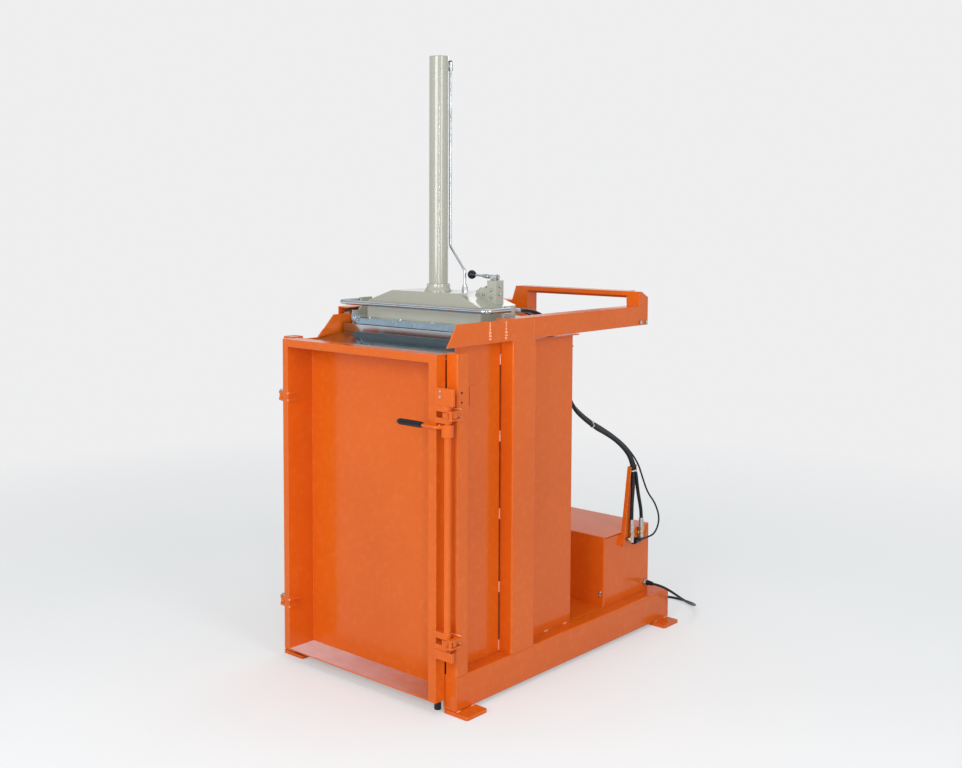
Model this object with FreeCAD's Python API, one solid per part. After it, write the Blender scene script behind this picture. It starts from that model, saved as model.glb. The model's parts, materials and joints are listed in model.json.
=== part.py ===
import FreeCAD, Part
import math
import os

V = FreeCAD.Vector
os.makedirs("parts", exist_ok=True)

# Millimetres, +Z up. The machine is drawn with X = 0 on its mid plane, Y = 0 at the
# front end of the base rails and Z = 0 on the floor. Every piece is moved at the end,
# so that the centre of the four floor anchors is the origin.

# ---- base -----------------------------------------------------------------
INNER_WIDTH = 740.0          # clear width of the chamber between its side walls
WALL = 4.0                   # sheet of walls, posts and door
CHAMBER_DEPTH = 724.0        # rail front end to the rear face of the rear wall
CHAMBER_HEIGHT = 1080.0      # floor plate to the top of the side walls
RAIL_W = 58.0
RAIL_H = 118.0
RAIL_WALL = 4.0
BASE_LENGTH = 1335.0
CROSS_DEPTH = 90.0
FOOT_T = 12.0
FOOT_SIZE = 106.0
FOOT_HOLE_R = 9.0
FOOT_HOLE_EDGE = 24.0        # hole centre from the free end of the plate
FOOT_FRONT_HOLE_Y = 45.0
FOOT_REAR_HOLE_Y = BASE_LENGTH - 60.0

WALL_IN = INNER_WIDTH / 2
WALL_OUT = WALL_IN + WALL
HALF_OUT = WALL_OUT + RAIL_W
DECK_Z = FOOT_T + RAIL_H     # top of the rails and of the chamber floor
RAIL_END = BASE_LENGTH - CROSS_DEPTH
SIDE_TOP = DECK_Z + CHAMBER_HEIGHT
FOOT_INSET = 52.0             # how far the right plates reach in under their rail
LEFT_HOLE_X = -HALF_OUT + FOOT_SIZE - FOOT_HOLE_EDGE
RIGHT_HOLE_X = HALF_OUT - FOOT_INSET + FOOT_SIZE - FOOT_HOLE_EDGE
ORIGIN = V((LEFT_HOLE_X + RIGHT_HOLE_X) / 2, (FOOT_FRONT_HOLE_Y + FOOT_REAR_HOLE_Y) / 2, 0)

# ---- posts and top rails --------------------------------------------------
POST_W = 50.0
POST_D = 58.0
POST_TOP = SIDE_TOP + 4
MID_FRONT = 294.0
MID_DEPTH = 130.0
TOP_RAIL_Z = SIDE_TOP + 26
TOP_RAIL_T = 5.0
ROLLER_R = 31.0
ROLLER_ROOM = 3.0            # free height over a roller inside its rail
TOP_RAIL_H = 2 * ROLLER_R + 2 * TOP_RAIL_T + ROLLER_ROOM
TOP_RAIL_END = 1147.0
GUARD_NOSE = 52.0            # how far the right top rail reaches ahead of the rails
LEFT_RAIL_FRONT = 285.0
GUARD_END = 270.0            # ahead of this the right rail is a bare guard plate
REAR_TOP_GAP = 8.0           # the side walls stop this far below the top rails
REAR_WALL_TOP = SIDE_TOP - 30

# ---- door -----------------------------------------------------------------
DOOR_HALF = HALF_OUT - POST_W - 1
DOOR_FRONT = -47.0
DOOR_BACK = 79.0
DOOR_BOTTOM = 42.0
DOOR_TOP = SIDE_TOP + 1
HINGE_X = -(DOOR_HALF + 16)
HINGE_Y = -32.0
HINGE_PIN_R = 8.0
HINGE_FIT = 0.06             # running clearance on the radius
HINGE_Z = (220.0, SIDE_TOP - 212)
LUG_T = 16.0
LEAF_T = 9.0
LEAF_GAP = 0.5

# ---- lock -----------------------------------------------------------------
ROD_X = DOOR_HALF + 43
ROD_Y = -40.0
ROD_R = 11.0
ROD_FIT = 0.06
COVER_DEPTH = 13.0
CAM_Z = (262.0, SIDE_TOP - 191.5)
CAM_T = 18.0
CAM_R = 34.0
KEEPER_DX = 26.5
KEEPER_DY = -14.0
KEEPER_PIN_R = 6.0
HANDLE_Z = SIDE_TOP - 231.0
HANDLE_Y = -68.0
GRIP_LEFT = 228.0
GRIP_RIGHT = 338.0

# ---- press unit -----------------------------------------------------------
AXIS_Y = 390.0               # ram axis
ROLLER_PIN_R = 10.0
ROLLER_FIT = 0.06
ROLLER_BORE_R = ROLLER_PIN_R + ROLLER_FIT
ROLLER_Z = TOP_RAIL_Z + TOP_RAIL_T + ROLLER_R + 0.3
ROLLER_Y = (322.0, 470.0)
TROLLEY_X = WALL_IN - 12     # outer face of the trolley side plates
TROLLEY_T = 8.0
TROLLEY_FRONT = 288.0
TROLLEY_REAR = 505.0
TRAY_Z = SIDE_TOP + 59
TRAY_T = 8.0
HOOD_X = 283.0
HOOD_Y = (295.0, 498.0)
HOOD_TOP_X = 164.0
HOOD_TOP_Y = (312.0, 482.0)
HOOD_Z = (TRAY_Z + TRAY_T, SIDE_TOP + 130, SIDE_TOP + 175)
HOOD_T = 3.0
TUBE_R = 35.6
TUBE_WALL = 7.1
TUBE_BORE_R = TUBE_R - TUBE_WALL
PISTON_FIT = 0.06
PIPE_OFF = 7.4               # from the tube's skin to the axis of the pressure pipe
TUBE_TOP = SIDE_TOP + 1039
TUBE_BASE = HOOD_Z[2] + 28
STEM_R = 20.0
STEM_FIT = 0.05
STROKE = 700.0
PLATE_HALF = WALL_IN - 19
PLATE_BOTTOM = REAR_WALL_TOP + 8
PLATE_TOP = PLATE_BOTTOM + 65

# ---- power pack -----------------------------------------------------------
PACK_FRONT = 950.0
PACK_REAR = 1275.0
GLAND_INSET = 31.0
PACK_TOP = DECK_Z + 277
PACK_SHEET = 3.0
HOSE_R = 7.0
CABLE_R = 3.5
HELD_RISE = 305.0            # the hoses are held to this height over the pack
MAINS_R = 5.0
COIL_X = 150.0
COIL_Y = 1490.0
COIL_TURNS = 3
COIL_PITCH = 10.8
COIL_MEAN_R = 55.0


def box(x0, x1, y0, y1, z0, z1):
    return Part.makeBox(x1 - x0, y1 - y0, z1 - z0, V(x0, y0, z0))


def rod(r, start, end):
    a, b = V(*start), V(*end)
    return Part.makeCylinder(r, (b - a).Length, a, b - a)


def prism(points, direction):
    wire = Part.makePolygon(points + [points[0]])
    return Part.Face(wire).extrude(direction)


def plate_xy(outline, z0, z1):
    return prism([V(x, y, z0) for x, y in outline], V(0, 0, z1 - z0))


def plate_yz(outline, x0, x1):
    return prism([V(x0, y, z) for y, z in outline], V(x1 - x0, 0, 0))


def plate_xz(outline, y0, y1):
    return prism([V(x, y0, z) for x, z in outline], V(0, y1 - y0, 0))


def join(shapes):
    return shapes[0].fuse(shapes[1:]).removeSplitter()


def mirrored(shape):
    return shape.mirror(V(0, 0, 0), V(1, 0, 0))


def rounded_along(shape, axis, r):
    """Rounds the straight edges of a block that run along one axis."""
    edges = [e for e in shape.Edges
             if abs(abs(e.tangentAt(e.FirstParameter).dot(axis)) - 1) < 1e-6]
    return shape.makeFillet(r, edges)


def hollow_bar(x0, x1, y0, y1, z0, z1, axis, wall, r):
    """A rectangular tube with rounded corners, open at both ends."""
    outer = rounded_along(box(x0, x1, y0, y1, z0, z1), axis, r)
    dx = 0 if abs(axis.x) > 0.5 else wall
    dy = 0 if abs(axis.y) > 0.5 else wall
    dz = 0 if abs(axis.z) > 0.5 else wall
    inner = box(x0 + dx, x1 - dx, y0 + dy, y1 - dy, z0 + dz, z1 - dz)
    return outer.cut(rounded_along(inner, axis, max(r - wall, 1.0)))


def save(name, shapes):
    """Writes one piece, or a group of separate equal pieces, to its STEP file."""
    if not isinstance(shapes, (list, tuple)):
        shapes = [shapes]
    solids = []
    for s in shapes:
        moved = s.copy()
        moved.translate(V(-ORIGIN.x, -ORIGIN.y, -ORIGIN.z))
        solids.extend(moved.Solids)
    out = solids[0] if len(solids) == 1 else Part.makeCompound(solids)
    if not out.isValid():
        print("INVALID", name)
    out.exportStep("parts/" + name + ".step")
    print(name, len(solids), round(out.Volume), [round(v) for v in (
        out.BoundBox.XMin, out.BoundBox.XMax, out.BoundBox.YMin,
        out.BoundBox.YMax, out.BoundBox.ZMin, out.BoundBox.ZMax)])


# ---- tubes, hoses and cables ------------------------------------------------
def bend_radii(points):
    """The arc radius at each inner corner: 0.45 of the shorter run over tan(turn / 2)."""
    radii = []
    for a, b, c in zip(points, points[1:], points[2:]):
        turn = (b - a).getAngle(c - b)
        run = min((b - a).Length, (c - b).Length)
        radii.append(0.45 * run / math.tan(turn / 2))
    return radii


def route(points, r, name, limit=None):
    """A round bar along straight runs with tangent arcs."""
    pts = [V(*p) for p in points]
    radii = bend_radii(pts)
    if limit:
        radii = [min(q, limit) for q in radii]
    edges = []
    at = pts[0]
    for i, q in enumerate(radii):
        b = pts[i + 1]
        u = (b - pts[i]).normalize()
        w = (pts[i + 2] - b).normalize()
        turn = u.getAngle(w)
        t = q * math.tan(turn / 2)
        p0, p1 = b - u * t, b + w * t
        mid = b + (w - u).normalize() * (q / math.cos(turn / 2) - q)
        edges.append(Part.makeLine(at, p0))
        edges.append(Part.Arc(p0, mid, p1).toShape())
        at = p1
    edges.append(Part.makeLine(at, pts[-1]))
    print("bend radii", name, "least", round(min(radii), 1), "bar radius", r)
    return sweep(edges, pts[0], pts[1] - pts[0], r)


def sweep(edges, start, direction, r):
    path = Part.Wire(edges)
    ring = Part.Wire([Part.makeCircle(r, start, direction)])
    solid = path.makePipe(Part.Face(ring))
    return solid.Solids[0]


def biarc(p0, t0, p1, t1):
    """Two arcs that join p0 to p1 with the given tangents."""
    d = p1 - p0
    s = t0 + t1
    k = 2 * (1 - t0.dot(t1))
    bq = 2 * d.dot(s)
    disc = bq * bq + 4 * k * d.dot(d)
    h = (-bq + math.sqrt(disc)) / (2 * k) if k > 1e-9 else d.dot(d) / (4 * d.dot(t1))
    m = (p0 + t0 * h + p1 - t1 * h) * 0.5
    return arc_from(p0, t0, m), arc_from(p1, t1 * -1, m)


def arc_from(p, t, q):
    """The arc that leaves p along t and reaches q."""
    c = q - p
    side = c - t * c.dot(t)
    if side.Length < 1e-6:
        return Part.makeLine(p, q)
    n = side.normalize()
    r = c.dot(c) / (2 * c.dot(n))
    centre = p + n * r
    ang = (p - centre).getAngle(q - centre)
    if c.dot(t) < 0:
        ang = 2 * math.pi - ang
    mid = centre - n * (r * math.cos(ang / 2)) + t * (r * math.sin(ang / 2))
    return Part.Arc(p, mid, q).toShape()


def coil_state(turn):
    """Radius and height of the coil's wire after a number of turns."""
    n = COIL_TURNS
    outer = COIL_MEAN_R + COIL_PITCH * n / 2
    inner = outer - COIL_PITCH * n
    low = MAINS_R + 0.2
    if turn <= n:
        return outer - COIL_PITCH * turn, low
    if turn <= n + 0.5:
        d = turn - n
        f = d / 0.5
        return inner - COIL_PITCH * min(d, 0.5 - d), low + COIL_PITCH * f * f * (3 - 2 * f)
    return inner + COIL_PITCH * (turn - n - 0.5), low + COIL_PITCH


def coil_point(turn):
    r, z = coil_state(turn)
    a = math.pi / 2 + 2 * math.pi * turn
    return V(COIL_X + r * math.cos(a), COIL_Y + r * math.sin(a), z)


def coil_tangent(turn, total):
    e = 1e-4
    t0, t1 = max(turn - e, 0), min(turn + e, total)
    t = (coil_point(t1) - coil_point(t0)).normalize()
    if turn == 0 or turn == total:
        t.z = 0
        t = t.normalize()
    return t


def coil():
    total = 2 * COIL_TURNS + 0.5
    steps = int(total * 4)
    knots = [coil_point(i * total / steps) for i in range(steps + 1)]
    tangents = [coil_tangent(i * total / steps, total) for i in range(steps + 1)]
    edges = []
    for i in range(steps):
        first, second = biarc(knots[i], tangents[i], knots[i + 1], tangents[i + 1])
        edges += [first, second]
    fine = [coil_point(i * total / 1300) for i in range(1301)]
    least = 1e9
    for i in range(0, 1301, 4):
        for j in range(i + 130, 1301, 3):
            least = min(least, (fine[i] - fine[j]).Length)
    print("coil least gap to itself", round(least - 2 * MAINS_R, 2))
    tail = knots[-1] + tangents[-1] * 30
    edges.append(Part.makeLine(knots[-1], tail))
    head = knots[0] - tangents[0] * 20
    edges.insert(0, Part.makeLine(head, knots[0]))
    return sweep(edges, head, tangents[0], MAINS_R), head, tangents[0], tail, tangents[-1]


# ---- frame ------------------------------------------------------------------
def base_rail():
    y = V(0, 1, 0)
    bar = hollow_bar(WALL_OUT, HALF_OUT, 0, RAIL_END, FOOT_T, DECK_Z, y, RAIL_WALL, 6)
    cap = box(WALL_OUT + RAIL_WALL, HALF_OUT - RAIL_WALL, 1, 1 + RAIL_WALL,
              FOOT_T + RAIL_WALL, DECK_Z - RAIL_WALL)
    return join([bar, cap])


def rear_cross_member():
    x = V(1, 0, 0)
    bar = hollow_bar(-HALF_OUT, HALF_OUT, RAIL_END, BASE_LENGTH, FOOT_T, DECK_Z, x,
                     RAIL_WALL, 6)
    cap = box(-HALF_OUT + 1, -HALF_OUT + 1 + RAIL_WALL, RAIL_END + RAIL_WALL,
              BASE_LENGTH - RAIL_WALL, FOOT_T + RAIL_WALL, DECK_Z - RAIL_WALL)
    drain = rod(6, (0, RAIL_END + 45, FOOT_T - 1), (0, RAIL_END + 45, FOOT_T + 6))
    return join([bar, cap, mirrored(cap)]).cut(drain)


def foot_plates():
    left = -HALF_OUT
    right = HALF_OUT - FOOT_INSET
    plates = []
    for x0, hole_x in ((left, LEFT_HOLE_X), (right, RIGHT_HOLE_X)):
        for hole_y in (FOOT_FRONT_HOLE_Y, FOOT_REAR_HOLE_Y):
            y0 = hole_y - FOOT_SIZE / 2
            p = box(x0, x0 + FOOT_SIZE, y0, y0 + FOOT_SIZE, 0, FOOT_T)
            p = rounded_along(p, V(0, 0, 1), 8)
            plates.append(p.cut(rod(FOOT_HOLE_R, (hole_x, hole_y, -1),
                                    (hole_x, hole_y, FOOT_T + 1))))
    return plates


def floor_plate():
    front = DOOR_BACK + 7
    pieces = [box(-WALL_OUT, WALL_OUT, front, RAIL_END, DECK_Z - 8, DECK_Z),
              box(-WALL_OUT, WALL_OUT, front, front + WALL, DECK_Z - 48, DECK_Z)]
    for y in (160.0, CHAMBER_DEPTH - 60, RAIL_END - 90):
        outer = box(-WALL_OUT, WALL_OUT, y, y + 50, DECK_Z - 58, DECK_Z - 8)
        pieces.append(outer.cut(box(-WALL_OUT - 1, WALL_OUT + 1, y + 5, y + 45,
                                    DECK_Z - 53, DECK_Z - 8)))
    return join(pieces)


def front_post(side):
    z = V(0, 0, 1)
    x0 = HALF_OUT - POST_W
    bar = hollow_bar(x0, HALF_OUT, 0, POST_D, DECK_Z, POST_TOP, z, WALL, 6)
    cap = box(x0 + WALL, HALF_OUT - WALL, WALL, POST_D - WALL,
              POST_TOP - 1 - WALL, POST_TOP - 1)
    post = join([bar, cap])
    if side < 0:
        return mirrored(post)
    for h in (SIDE_TOP - 158, SIDE_TOP - 126):
        post = post.cut(rod(4.5, (HALF_OUT - 8, 22.8, h), (HALF_OUT + 1, 22.8, h)))
    return post


def mid_post():
    return hollow_bar(WALL_OUT, HALF_OUT, MID_FRONT, MID_FRONT + MID_DEPTH, DECK_Z,
                      TOP_RAIL_Z, V(0, 0, 1), 5, 7)


def side_wall(side):
    """A folded sheet: the wall, its front return and its top edge fold."""
    back = MID_FRONT + MID_DEPTH
    if side > 0:
        front_top = [(back, TOP_RAIL_Z), (POST_D, TOP_RAIL_Z)]
    else:
        front_top = [(back, TOP_RAIL_Z), (150, TOP_RAIL_Z), (119, SIDE_TOP - 5),
                     (POST_D, SIDE_TOP - 5)]
    rear_top = TOP_RAIL_Z - REAR_TOP_GAP
    outline = [(POST_D, DECK_Z), (CHAMBER_DEPTH, DECK_Z), (CHAMBER_DEPTH, rear_top),
               (back, rear_top)] + front_top
    pieces = [plate_yz(outline, WALL_IN, WALL_OUT),
              box(WALL_OUT - 1, HALF_OUT - 4, POST_D, POST_D + WALL, DECK_Z, SIDE_TOP - 5),
              box(WALL_OUT - 1, WALL_OUT + 30, back, CHAMBER_DEPTH,
                  rear_top - WALL, rear_top)]
    if side > 0:
        pieces.append(box(WALL_OUT - 1, WALL_OUT + 4, 126, 156,
                          SIDE_TOP - 185, SIDE_TOP - 121))
        return join(pieces)
    guard = [(119, SIDE_TOP - 5), (199, SIDE_TOP + 77), (300, SIDE_TOP + 79),
             (300, SIDE_TOP + 30), (230, SIDE_TOP + 8), (150, SIDE_TOP - 3)]
    pieces.append(plate_yz(guard, WALL_IN - WALL, WALL_IN))
    return mirrored(join(pieces))


def rear_wall():
    """The rear sheet with a folded top edge and two pressed stiffeners."""
    y1 = CHAMBER_DEPTH - WALL
    pieces = [box(-WALL_IN, WALL_IN, y1 - WALL, y1, DECK_Z, REAR_WALL_TOP),
              box(-WALL_IN, WALL_IN, y1 - WALL, y1 + 16, REAR_WALL_TOP - WALL,
                  REAR_WALL_TOP)]
    for x in (-WALL_IN / 2, WALL_IN / 2):
        hat = [(x - 40, y1), (x - 28, y1 + 14), (x + 28, y1 + 14), (x + 40, y1)]
        core = [(x - 36, y1), (x - 26, y1 + 11), (x + 26, y1 + 11), (x + 36, y1)]
        pieces.append(plate_xy(hat, DECK_Z, REAR_WALL_TOP - 8).cut(
            plate_xy(core, DECK_Z - 1, REAR_WALL_TOP - 7)))
    return join(pieces)


def top_rail(side):
    """A channel open to the inside that carries and guides the rollers."""
    y0 = -GUARD_NOSE if side > 0 else LEFT_RAIL_FRONT
    z0, z1, t = TOP_RAIL_Z, TOP_RAIL_Z + TOP_RAIL_H, TOP_RAIL_T
    outer = box(WALL_OUT, HALF_OUT, y0, TOP_RAIL_END, z0, z1)
    inner = box(WALL_OUT - 1, HALF_OUT - t, y0 - 1, TOP_RAIL_END - WALL, z0 + t, z1 - t)
    rail = outer.cut(inner)
    if side > 0:
        nose = [(y0 - 1, z0), (y0, z0), (y0 + 51, z1), (y0 + 51, z1 + 1), (y0 - 1, z1 + 1)]
        rail = rail.cut(plate_yz(nose, WALL_OUT - 1, HALF_OUT + 1))
        rail = rail.cut(box(WALL_OUT - 1, HALF_OUT - t, y0 - 1, GUARD_END, z0 - 1, z1 + 1))
        for y in (1092.0, 1133.0):
            rail = rail.cut(rod(5, (HALF_OUT - 8, y, z0 + 12), (HALF_OUT + 1, y, z0 + 12)))
        return rail
    return mirrored(rail)


def rear_portal():
    """A raised cross channel with a window for the hoses, open underneath."""
    z0, z1, top = TOP_RAIL_Z + 4, TOP_RAIL_Z + TOP_RAIL_H, TOP_RAIL_Z + 132
    y0, y1, t = 1083.0, TOP_RAIL_END, WALL
    xl = -WALL_OUT
    outline = [(xl, z0), (xl, z1 - 5), (-197, z1 - 5), (-176, top), (HALF_OUT, top),
               (HALF_OUT, z1), (WALL_OUT, z1), (WALL_OUT, z0), (-115, z0)]
    inner = [(xl + 30, z0 - 1), (xl + 30, z1 - 5 - t), (-194, z1 - 5 - t), (-173, top - t),
             (HALF_OUT - t, top - t), (HALF_OUT - t, z1 - 1), (WALL_OUT + t, z1 - 1),
             (WALL_OUT + t, z0 - 1)]
    body = plate_xz(outline, y0, y1).cut(plate_xz(inner, y0 + t, y1 - t))
    window = [(-115, z0 - 1), (-115, top - 30), (WALL_OUT, top - 30), (WALL_OUT + t, z0 - 1)]
    lip = box(-115, WALL_OUT, y0 - 1, y0 + t, top - 30 - 1, top - 17)
    side = box(-119, -115, y0 + t, y1 - t, z0, top - t)
    body = body.cut(plate_xz(window, y0 - 1, y1 + 1)).cut(lip)
    body = body.cut(box(WALL_OUT - 1, WALL_OUT + t + 1, y0 - 1, y1 + 1, z0 - 2, z1))
    chamfer = [(y0 + 16, top + 1), (y1 - 4, top - 22), (y1 + 1, top - 22), (y1 + 1, top + 1)]
    body = body.cut(plate_yz(chamfer, HALF_OUT - 60, HALF_OUT + 1))
    ends = box(xl, xl + t, y0 + t, y1 - t, z0, z1 - 5 - t)
    return join([body, side, ends])


def portal_bolts():
    bolts = []
    for y in (1092.0, 1133.0):
        z = TOP_RAIL_Z + 12
        head = [(y + 8 * math.cos(a), z + 8 * math.sin(a))
                for a in [math.radians(60 * i) for i in range(6)]]
        bolts.append(join([plate_yz(head, HALF_OUT, HALF_OUT + 6),
                           rod(4.9, (HALF_OUT - 7, y, z), (HALF_OUT, y, z))]))
    return bolts


def hinge_lugs():
    lugs = []
    for z in HINGE_Z:
        nose = rod(14, (HINGE_X, HINGE_Y, z - LUG_T / 2), (HINGE_X, HINGE_Y, z + LUG_T / 2))
        web = box(HINGE_X - 14, HINGE_X + 14, HINGE_Y, 0, z - LUG_T / 2, z + LUG_T / 2)
        hole = rod(HINGE_PIN_R, (HINGE_X, HINGE_Y, z - 20), (HINGE_X, HINGE_Y, z + 20))
        lugs.append(join([nose, web]).cut(hole))
    return lugs


def hinge_pins():
    pins = []
    half = LUG_T / 2 + LEAF_GAP + LEAF_T
    for z in HINGE_Z:
        pin = rod(HINGE_PIN_R, (HINGE_X, HINGE_Y, z - half - 4), (HINGE_X, HINGE_Y, z + half + 4))
        head = rod(12, (HINGE_X, HINGE_Y, z + half + 0.5), (HINGE_X, HINGE_Y, z + half + 5))
        pins.append(join([pin, head]))
    return pins


def lock_keepers():
    """Two welded brackets, each with an upright pin ahead of the cam's lobe."""
    keepers = []
    for z in CAM_Z:
        outline = [(ROD_X - 22, 0), (ROD_X - 22, -16), (ROD_X + 14, -22), (ROD_X + 18, -30),
                   (ROD_X + 18, ROD_Y - 22), (ROD_X + 38, ROD_Y - 22), (ROD_X + 38, -8),
                   (ROD_X + 30, 0)]
        half = CAM_T / 2 + 1.5
        px, py = ROD_X + KEEPER_DX, ROD_Y + KEEPER_DY
        keepers.append(join([plate_xy(outline, z + half, z + half + 5),
                             plate_xy(outline, z - half - 5, z - half),
                             rod(KEEPER_PIN_R, (px, py, z - half - 5), (px, py, z + half + 5))]))
    return keepers


# ---- door -------------------------------------------------------------------
def hinge_leaves():
    leaves = []
    outline = [(HINGE_X, HINGE_Y - 16), (HINGE_X + 47, DOOR_FRONT - 4),
               (HINGE_X + 51, DOOR_FRONT), (HINGE_X + 51, 6), (-DOOR_HALF, 6),
               (-DOOR_HALF, HINGE_Y + 14), (HINGE_X, HINGE_Y + 16)]
    for z in HINGE_Z:
        for z0 in (z + LUG_T / 2 + LEAF_GAP, z - LUG_T / 2 - LEAF_GAP - LEAF_T):
            leaf = join([plate_xy(outline, z0, z0 + LEAF_T),
                         rod(16, (HINGE_X, HINGE_Y, z0), (HINGE_X, HINGE_Y, z0 + LEAF_T))])
            leaves.append(leaf)
    return leaves


def door_tray():
    """The folded door: front flanges, outer returns, recess walls and back sheet."""
    w, t, f, b = DOOR_HALF, WALL, DOOR_FRONT, DOOR_BACK
    left_in, right_in = -(w - 27), w - 34
    top_in = DOOR_TOP - 28
    z0, z1 = DOOR_BOTTOM, DOOR_TOP
    pieces = [box(-w, left_in, f, f + t, z0, z1), box(right_in, w, f, f + t, z0, z1),
              box(-w, w, f, f + t, top_in, z1),
              box(-w, -w + t, f, -2, z0, z1), box(w - t, w, f, -2, z0, z1),
              box(-w, w, f, 13, z1 - t, z1),
              box(left_in - t, left_in, f, b, z0, top_in + t),
              box(right_in, right_in + t, f, b, z0, top_in + t),
              box(left_in - t, right_in + t, f, b, top_in, top_in + t),
              box(left_in - t, right_in + t, b - t, b, z0, top_in + t),
              box(-w, w, f, -2, z0, z0 + t),
              box(left_in - t, right_in + t, -2, b, z0, z0 + t)]
    tray = join(pieces + hinge_leaves())
    for z in HINGE_Z:
        tray = tray.cut(rod(HINGE_PIN_R + HINGE_FIT, (HINGE_X, HINGE_Y, z - 30),
                            (HINGE_X, HINGE_Y, z + 30)))
    return tray


def door_buffer():
    x, y = DOOR_HALF - 13, -22.0
    return rod(12, (x, y, FOOT_T + 2), (x, y, DOOR_BOTTOM)).cut(
        rod(4, (x, y, FOOT_T), (x, y, FOOT_T + 12)))


def bearing(z0, z1):
    """One guide of the lock bar, welded to the door's outer return."""
    arm = box(DOOR_HALF, ROD_X, ROD_Y - 14, ROD_Y + 14, z0, z1)
    eye = rod(14, (ROD_X, ROD_Y, z0), (ROD_X, ROD_Y, z1))
    hole = rod(ROD_R + ROD_FIT, (ROD_X, ROD_Y, z0 - 1), (ROD_X, ROD_Y, z1 + 1))
    return join([arm, eye]).cut(hole)


def lock_brackets():
    out = []
    for z in CAM_Z:
        out.append(bearing(z + CAM_T / 2 + 1.5, z + CAM_T / 2 + 22))
        out.append(bearing(z - CAM_T / 2 - 19.5, z - CAM_T / 2 - 1.5))
    return out


def lock_cover(z0, z1, closed_top):
    """A folded cap over one end of the lock bar, open to the rear."""
    x0, x1 = DOOR_HALF, DOOR_HALF + 80
    outer = rounded_along(box(x0, x1, ROD_Y - 17, ROD_Y - 17 + COVER_DEPTH, z0, z1),
                          V(0, 0, 1), 3)
    low = z0 - 1 if closed_top else z0 + HOOD_T
    high = z1 - HOOD_T if closed_top else z1 + 1
    inner = box(x0 + HOOD_T, x1 - HOOD_T, ROD_Y - 14, ROD_Y + 30, low, high)
    return outer.cut(inner)


def lock_covers():
    top = CAM_Z[1] + CAM_T / 2 + 22
    low = CAM_Z[0] - CAM_T / 2 - 19.5
    return [lock_cover(top, top + 57, True), lock_cover(low - 31, low, False)]


# ---- lock bar ---------------------------------------------------------------
def lock_rod():
    return rod(ROD_R, (ROD_X, ROD_Y, CAM_Z[0] - 44), (ROD_X, ROD_Y, CAM_Z[1] + 44))


def lock_cams():
    cams = []
    angles = [math.radians(a) for a in (-14, 0, 15, 30)]
    for z in CAM_Z:
        lobe = [(ROD_X, ROD_Y)] + [(ROD_X + CAM_R * math.cos(a), ROD_Y + CAM_R * math.sin(a))
                                   for a in angles]
        z0, z1 = z - CAM_T / 2, z + CAM_T / 2
        disc = rod(17, (ROD_X, ROD_Y, z0), (ROD_X, ROD_Y, z1))
        cam = join([plate_xy(lobe, z0, z1), disc])
        cams.append(cam.cut(rod(ROD_R, (ROD_X, ROD_Y, z0 - 1), (ROD_X, ROD_Y, z1 + 1))))
    return cams


def handle_arm():
    hub = rod(20, (ROD_X, ROD_Y, HANDLE_Z - 34), (ROD_X, ROD_Y, HANDLE_Z + 7))
    hub = hub.makeFillet(1.5, hub.Edges[0:3:2])
    points = [(ROD_X, ROD_Y, HANDLE_Z - 2), (ROD_X - 26, HANDLE_Y, HANDLE_Z - 2),
              (GRIP_LEFT + 20, HANDLE_Y, HANDLE_Z)]
    arm = route(points, 6, "handle arm", 26)
    return join([hub, arm]).cut(rod(ROD_R, (ROD_X, ROD_Y, HANDLE_Z - 40),
                                    (ROD_X, ROD_Y, HANDLE_Z + 20)))


def handle_grip():
    a = V(GRIP_RIGHT, HANDLE_Y, HANDLE_Z)
    profile = [V(0, 0, 0), V(9.5, 0, 0), V(10.5, 0, 8), V(10.5, 0, 60), V(9.8, 0, 80),
               V(10.8, 0, 100), V(7, 0, 110), V(0, 0, 110)]
    face = Part.Face(Part.makePolygon(profile + [profile[0]]))
    grip = face.revolve(V(0, 0, 0), V(0, 0, 1), 360)
    grip.rotate(V(0, 0, 0), V(0, 1, 0), -90)
    grip.translate(a)
    points = [(ROD_X, ROD_Y, HANDLE_Z - 2), (ROD_X - 26, HANDLE_Y, HANDLE_Z - 2),
              (GRIP_LEFT + 20, HANDLE_Y, HANDLE_Z)]
    return grip.cut(route(points, 6, "grip bore", 26))


# ---- press unit -------------------------------------------------------------
def trolley_chassis():
    z0, z1, ear = PLATE_TOP + 1, SIDE_TOP + 90, SIDE_TOP + 138
    outline = [(TROLLEY_FRONT, z0), (TROLLEY_REAR, z0), (TROLLEY_REAR, z1 - 12),
               (TROLLEY_REAR - 12, z1), (404, z1), (392, z1 + 12), (392, ear - 4),
               (388, ear), (337, ear), (333, ear - 4), (333, z1 + 12), (321, z1),
               (TROLLEY_FRONT, z1)]
    side = plate_yz(outline, TROLLEY_X - TROLLEY_T, TROLLEY_X)
    deck = box(-TROLLEY_X + TROLLEY_T, TROLLEY_X - TROLLEY_T, TROLLEY_FRONT, TROLLEY_REAR,
               TRAY_Z, TRAY_Z + TRAY_T)
    deck = deck.cut(rod(38, (0, AXIS_Y, TRAY_Z - 1), (0, AXIS_Y, TRAY_Z + 20)))
    return join([deck, side, mirrored(side)])


def front_beam():
    y0, z0, z1, t = 240.0, PLATE_TOP + 2, TRAY_Z + TRAY_T, 3.0
    half = HOOD_X + 17
    pieces = [box(-half, half, y0, y0 + t, z0, z1),
              box(-half, half, y0, TROLLEY_FRONT, z1 - t, z1),
              box(-half, half, y0, TROLLEY_FRONT - 3, z0, z0 + t)]
    tab = box(half - 28, half + 8, y0 - 4, y0, z0 + 7, z0 + 35)
    return join(pieces + [tab, mirrored(tab)])


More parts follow.
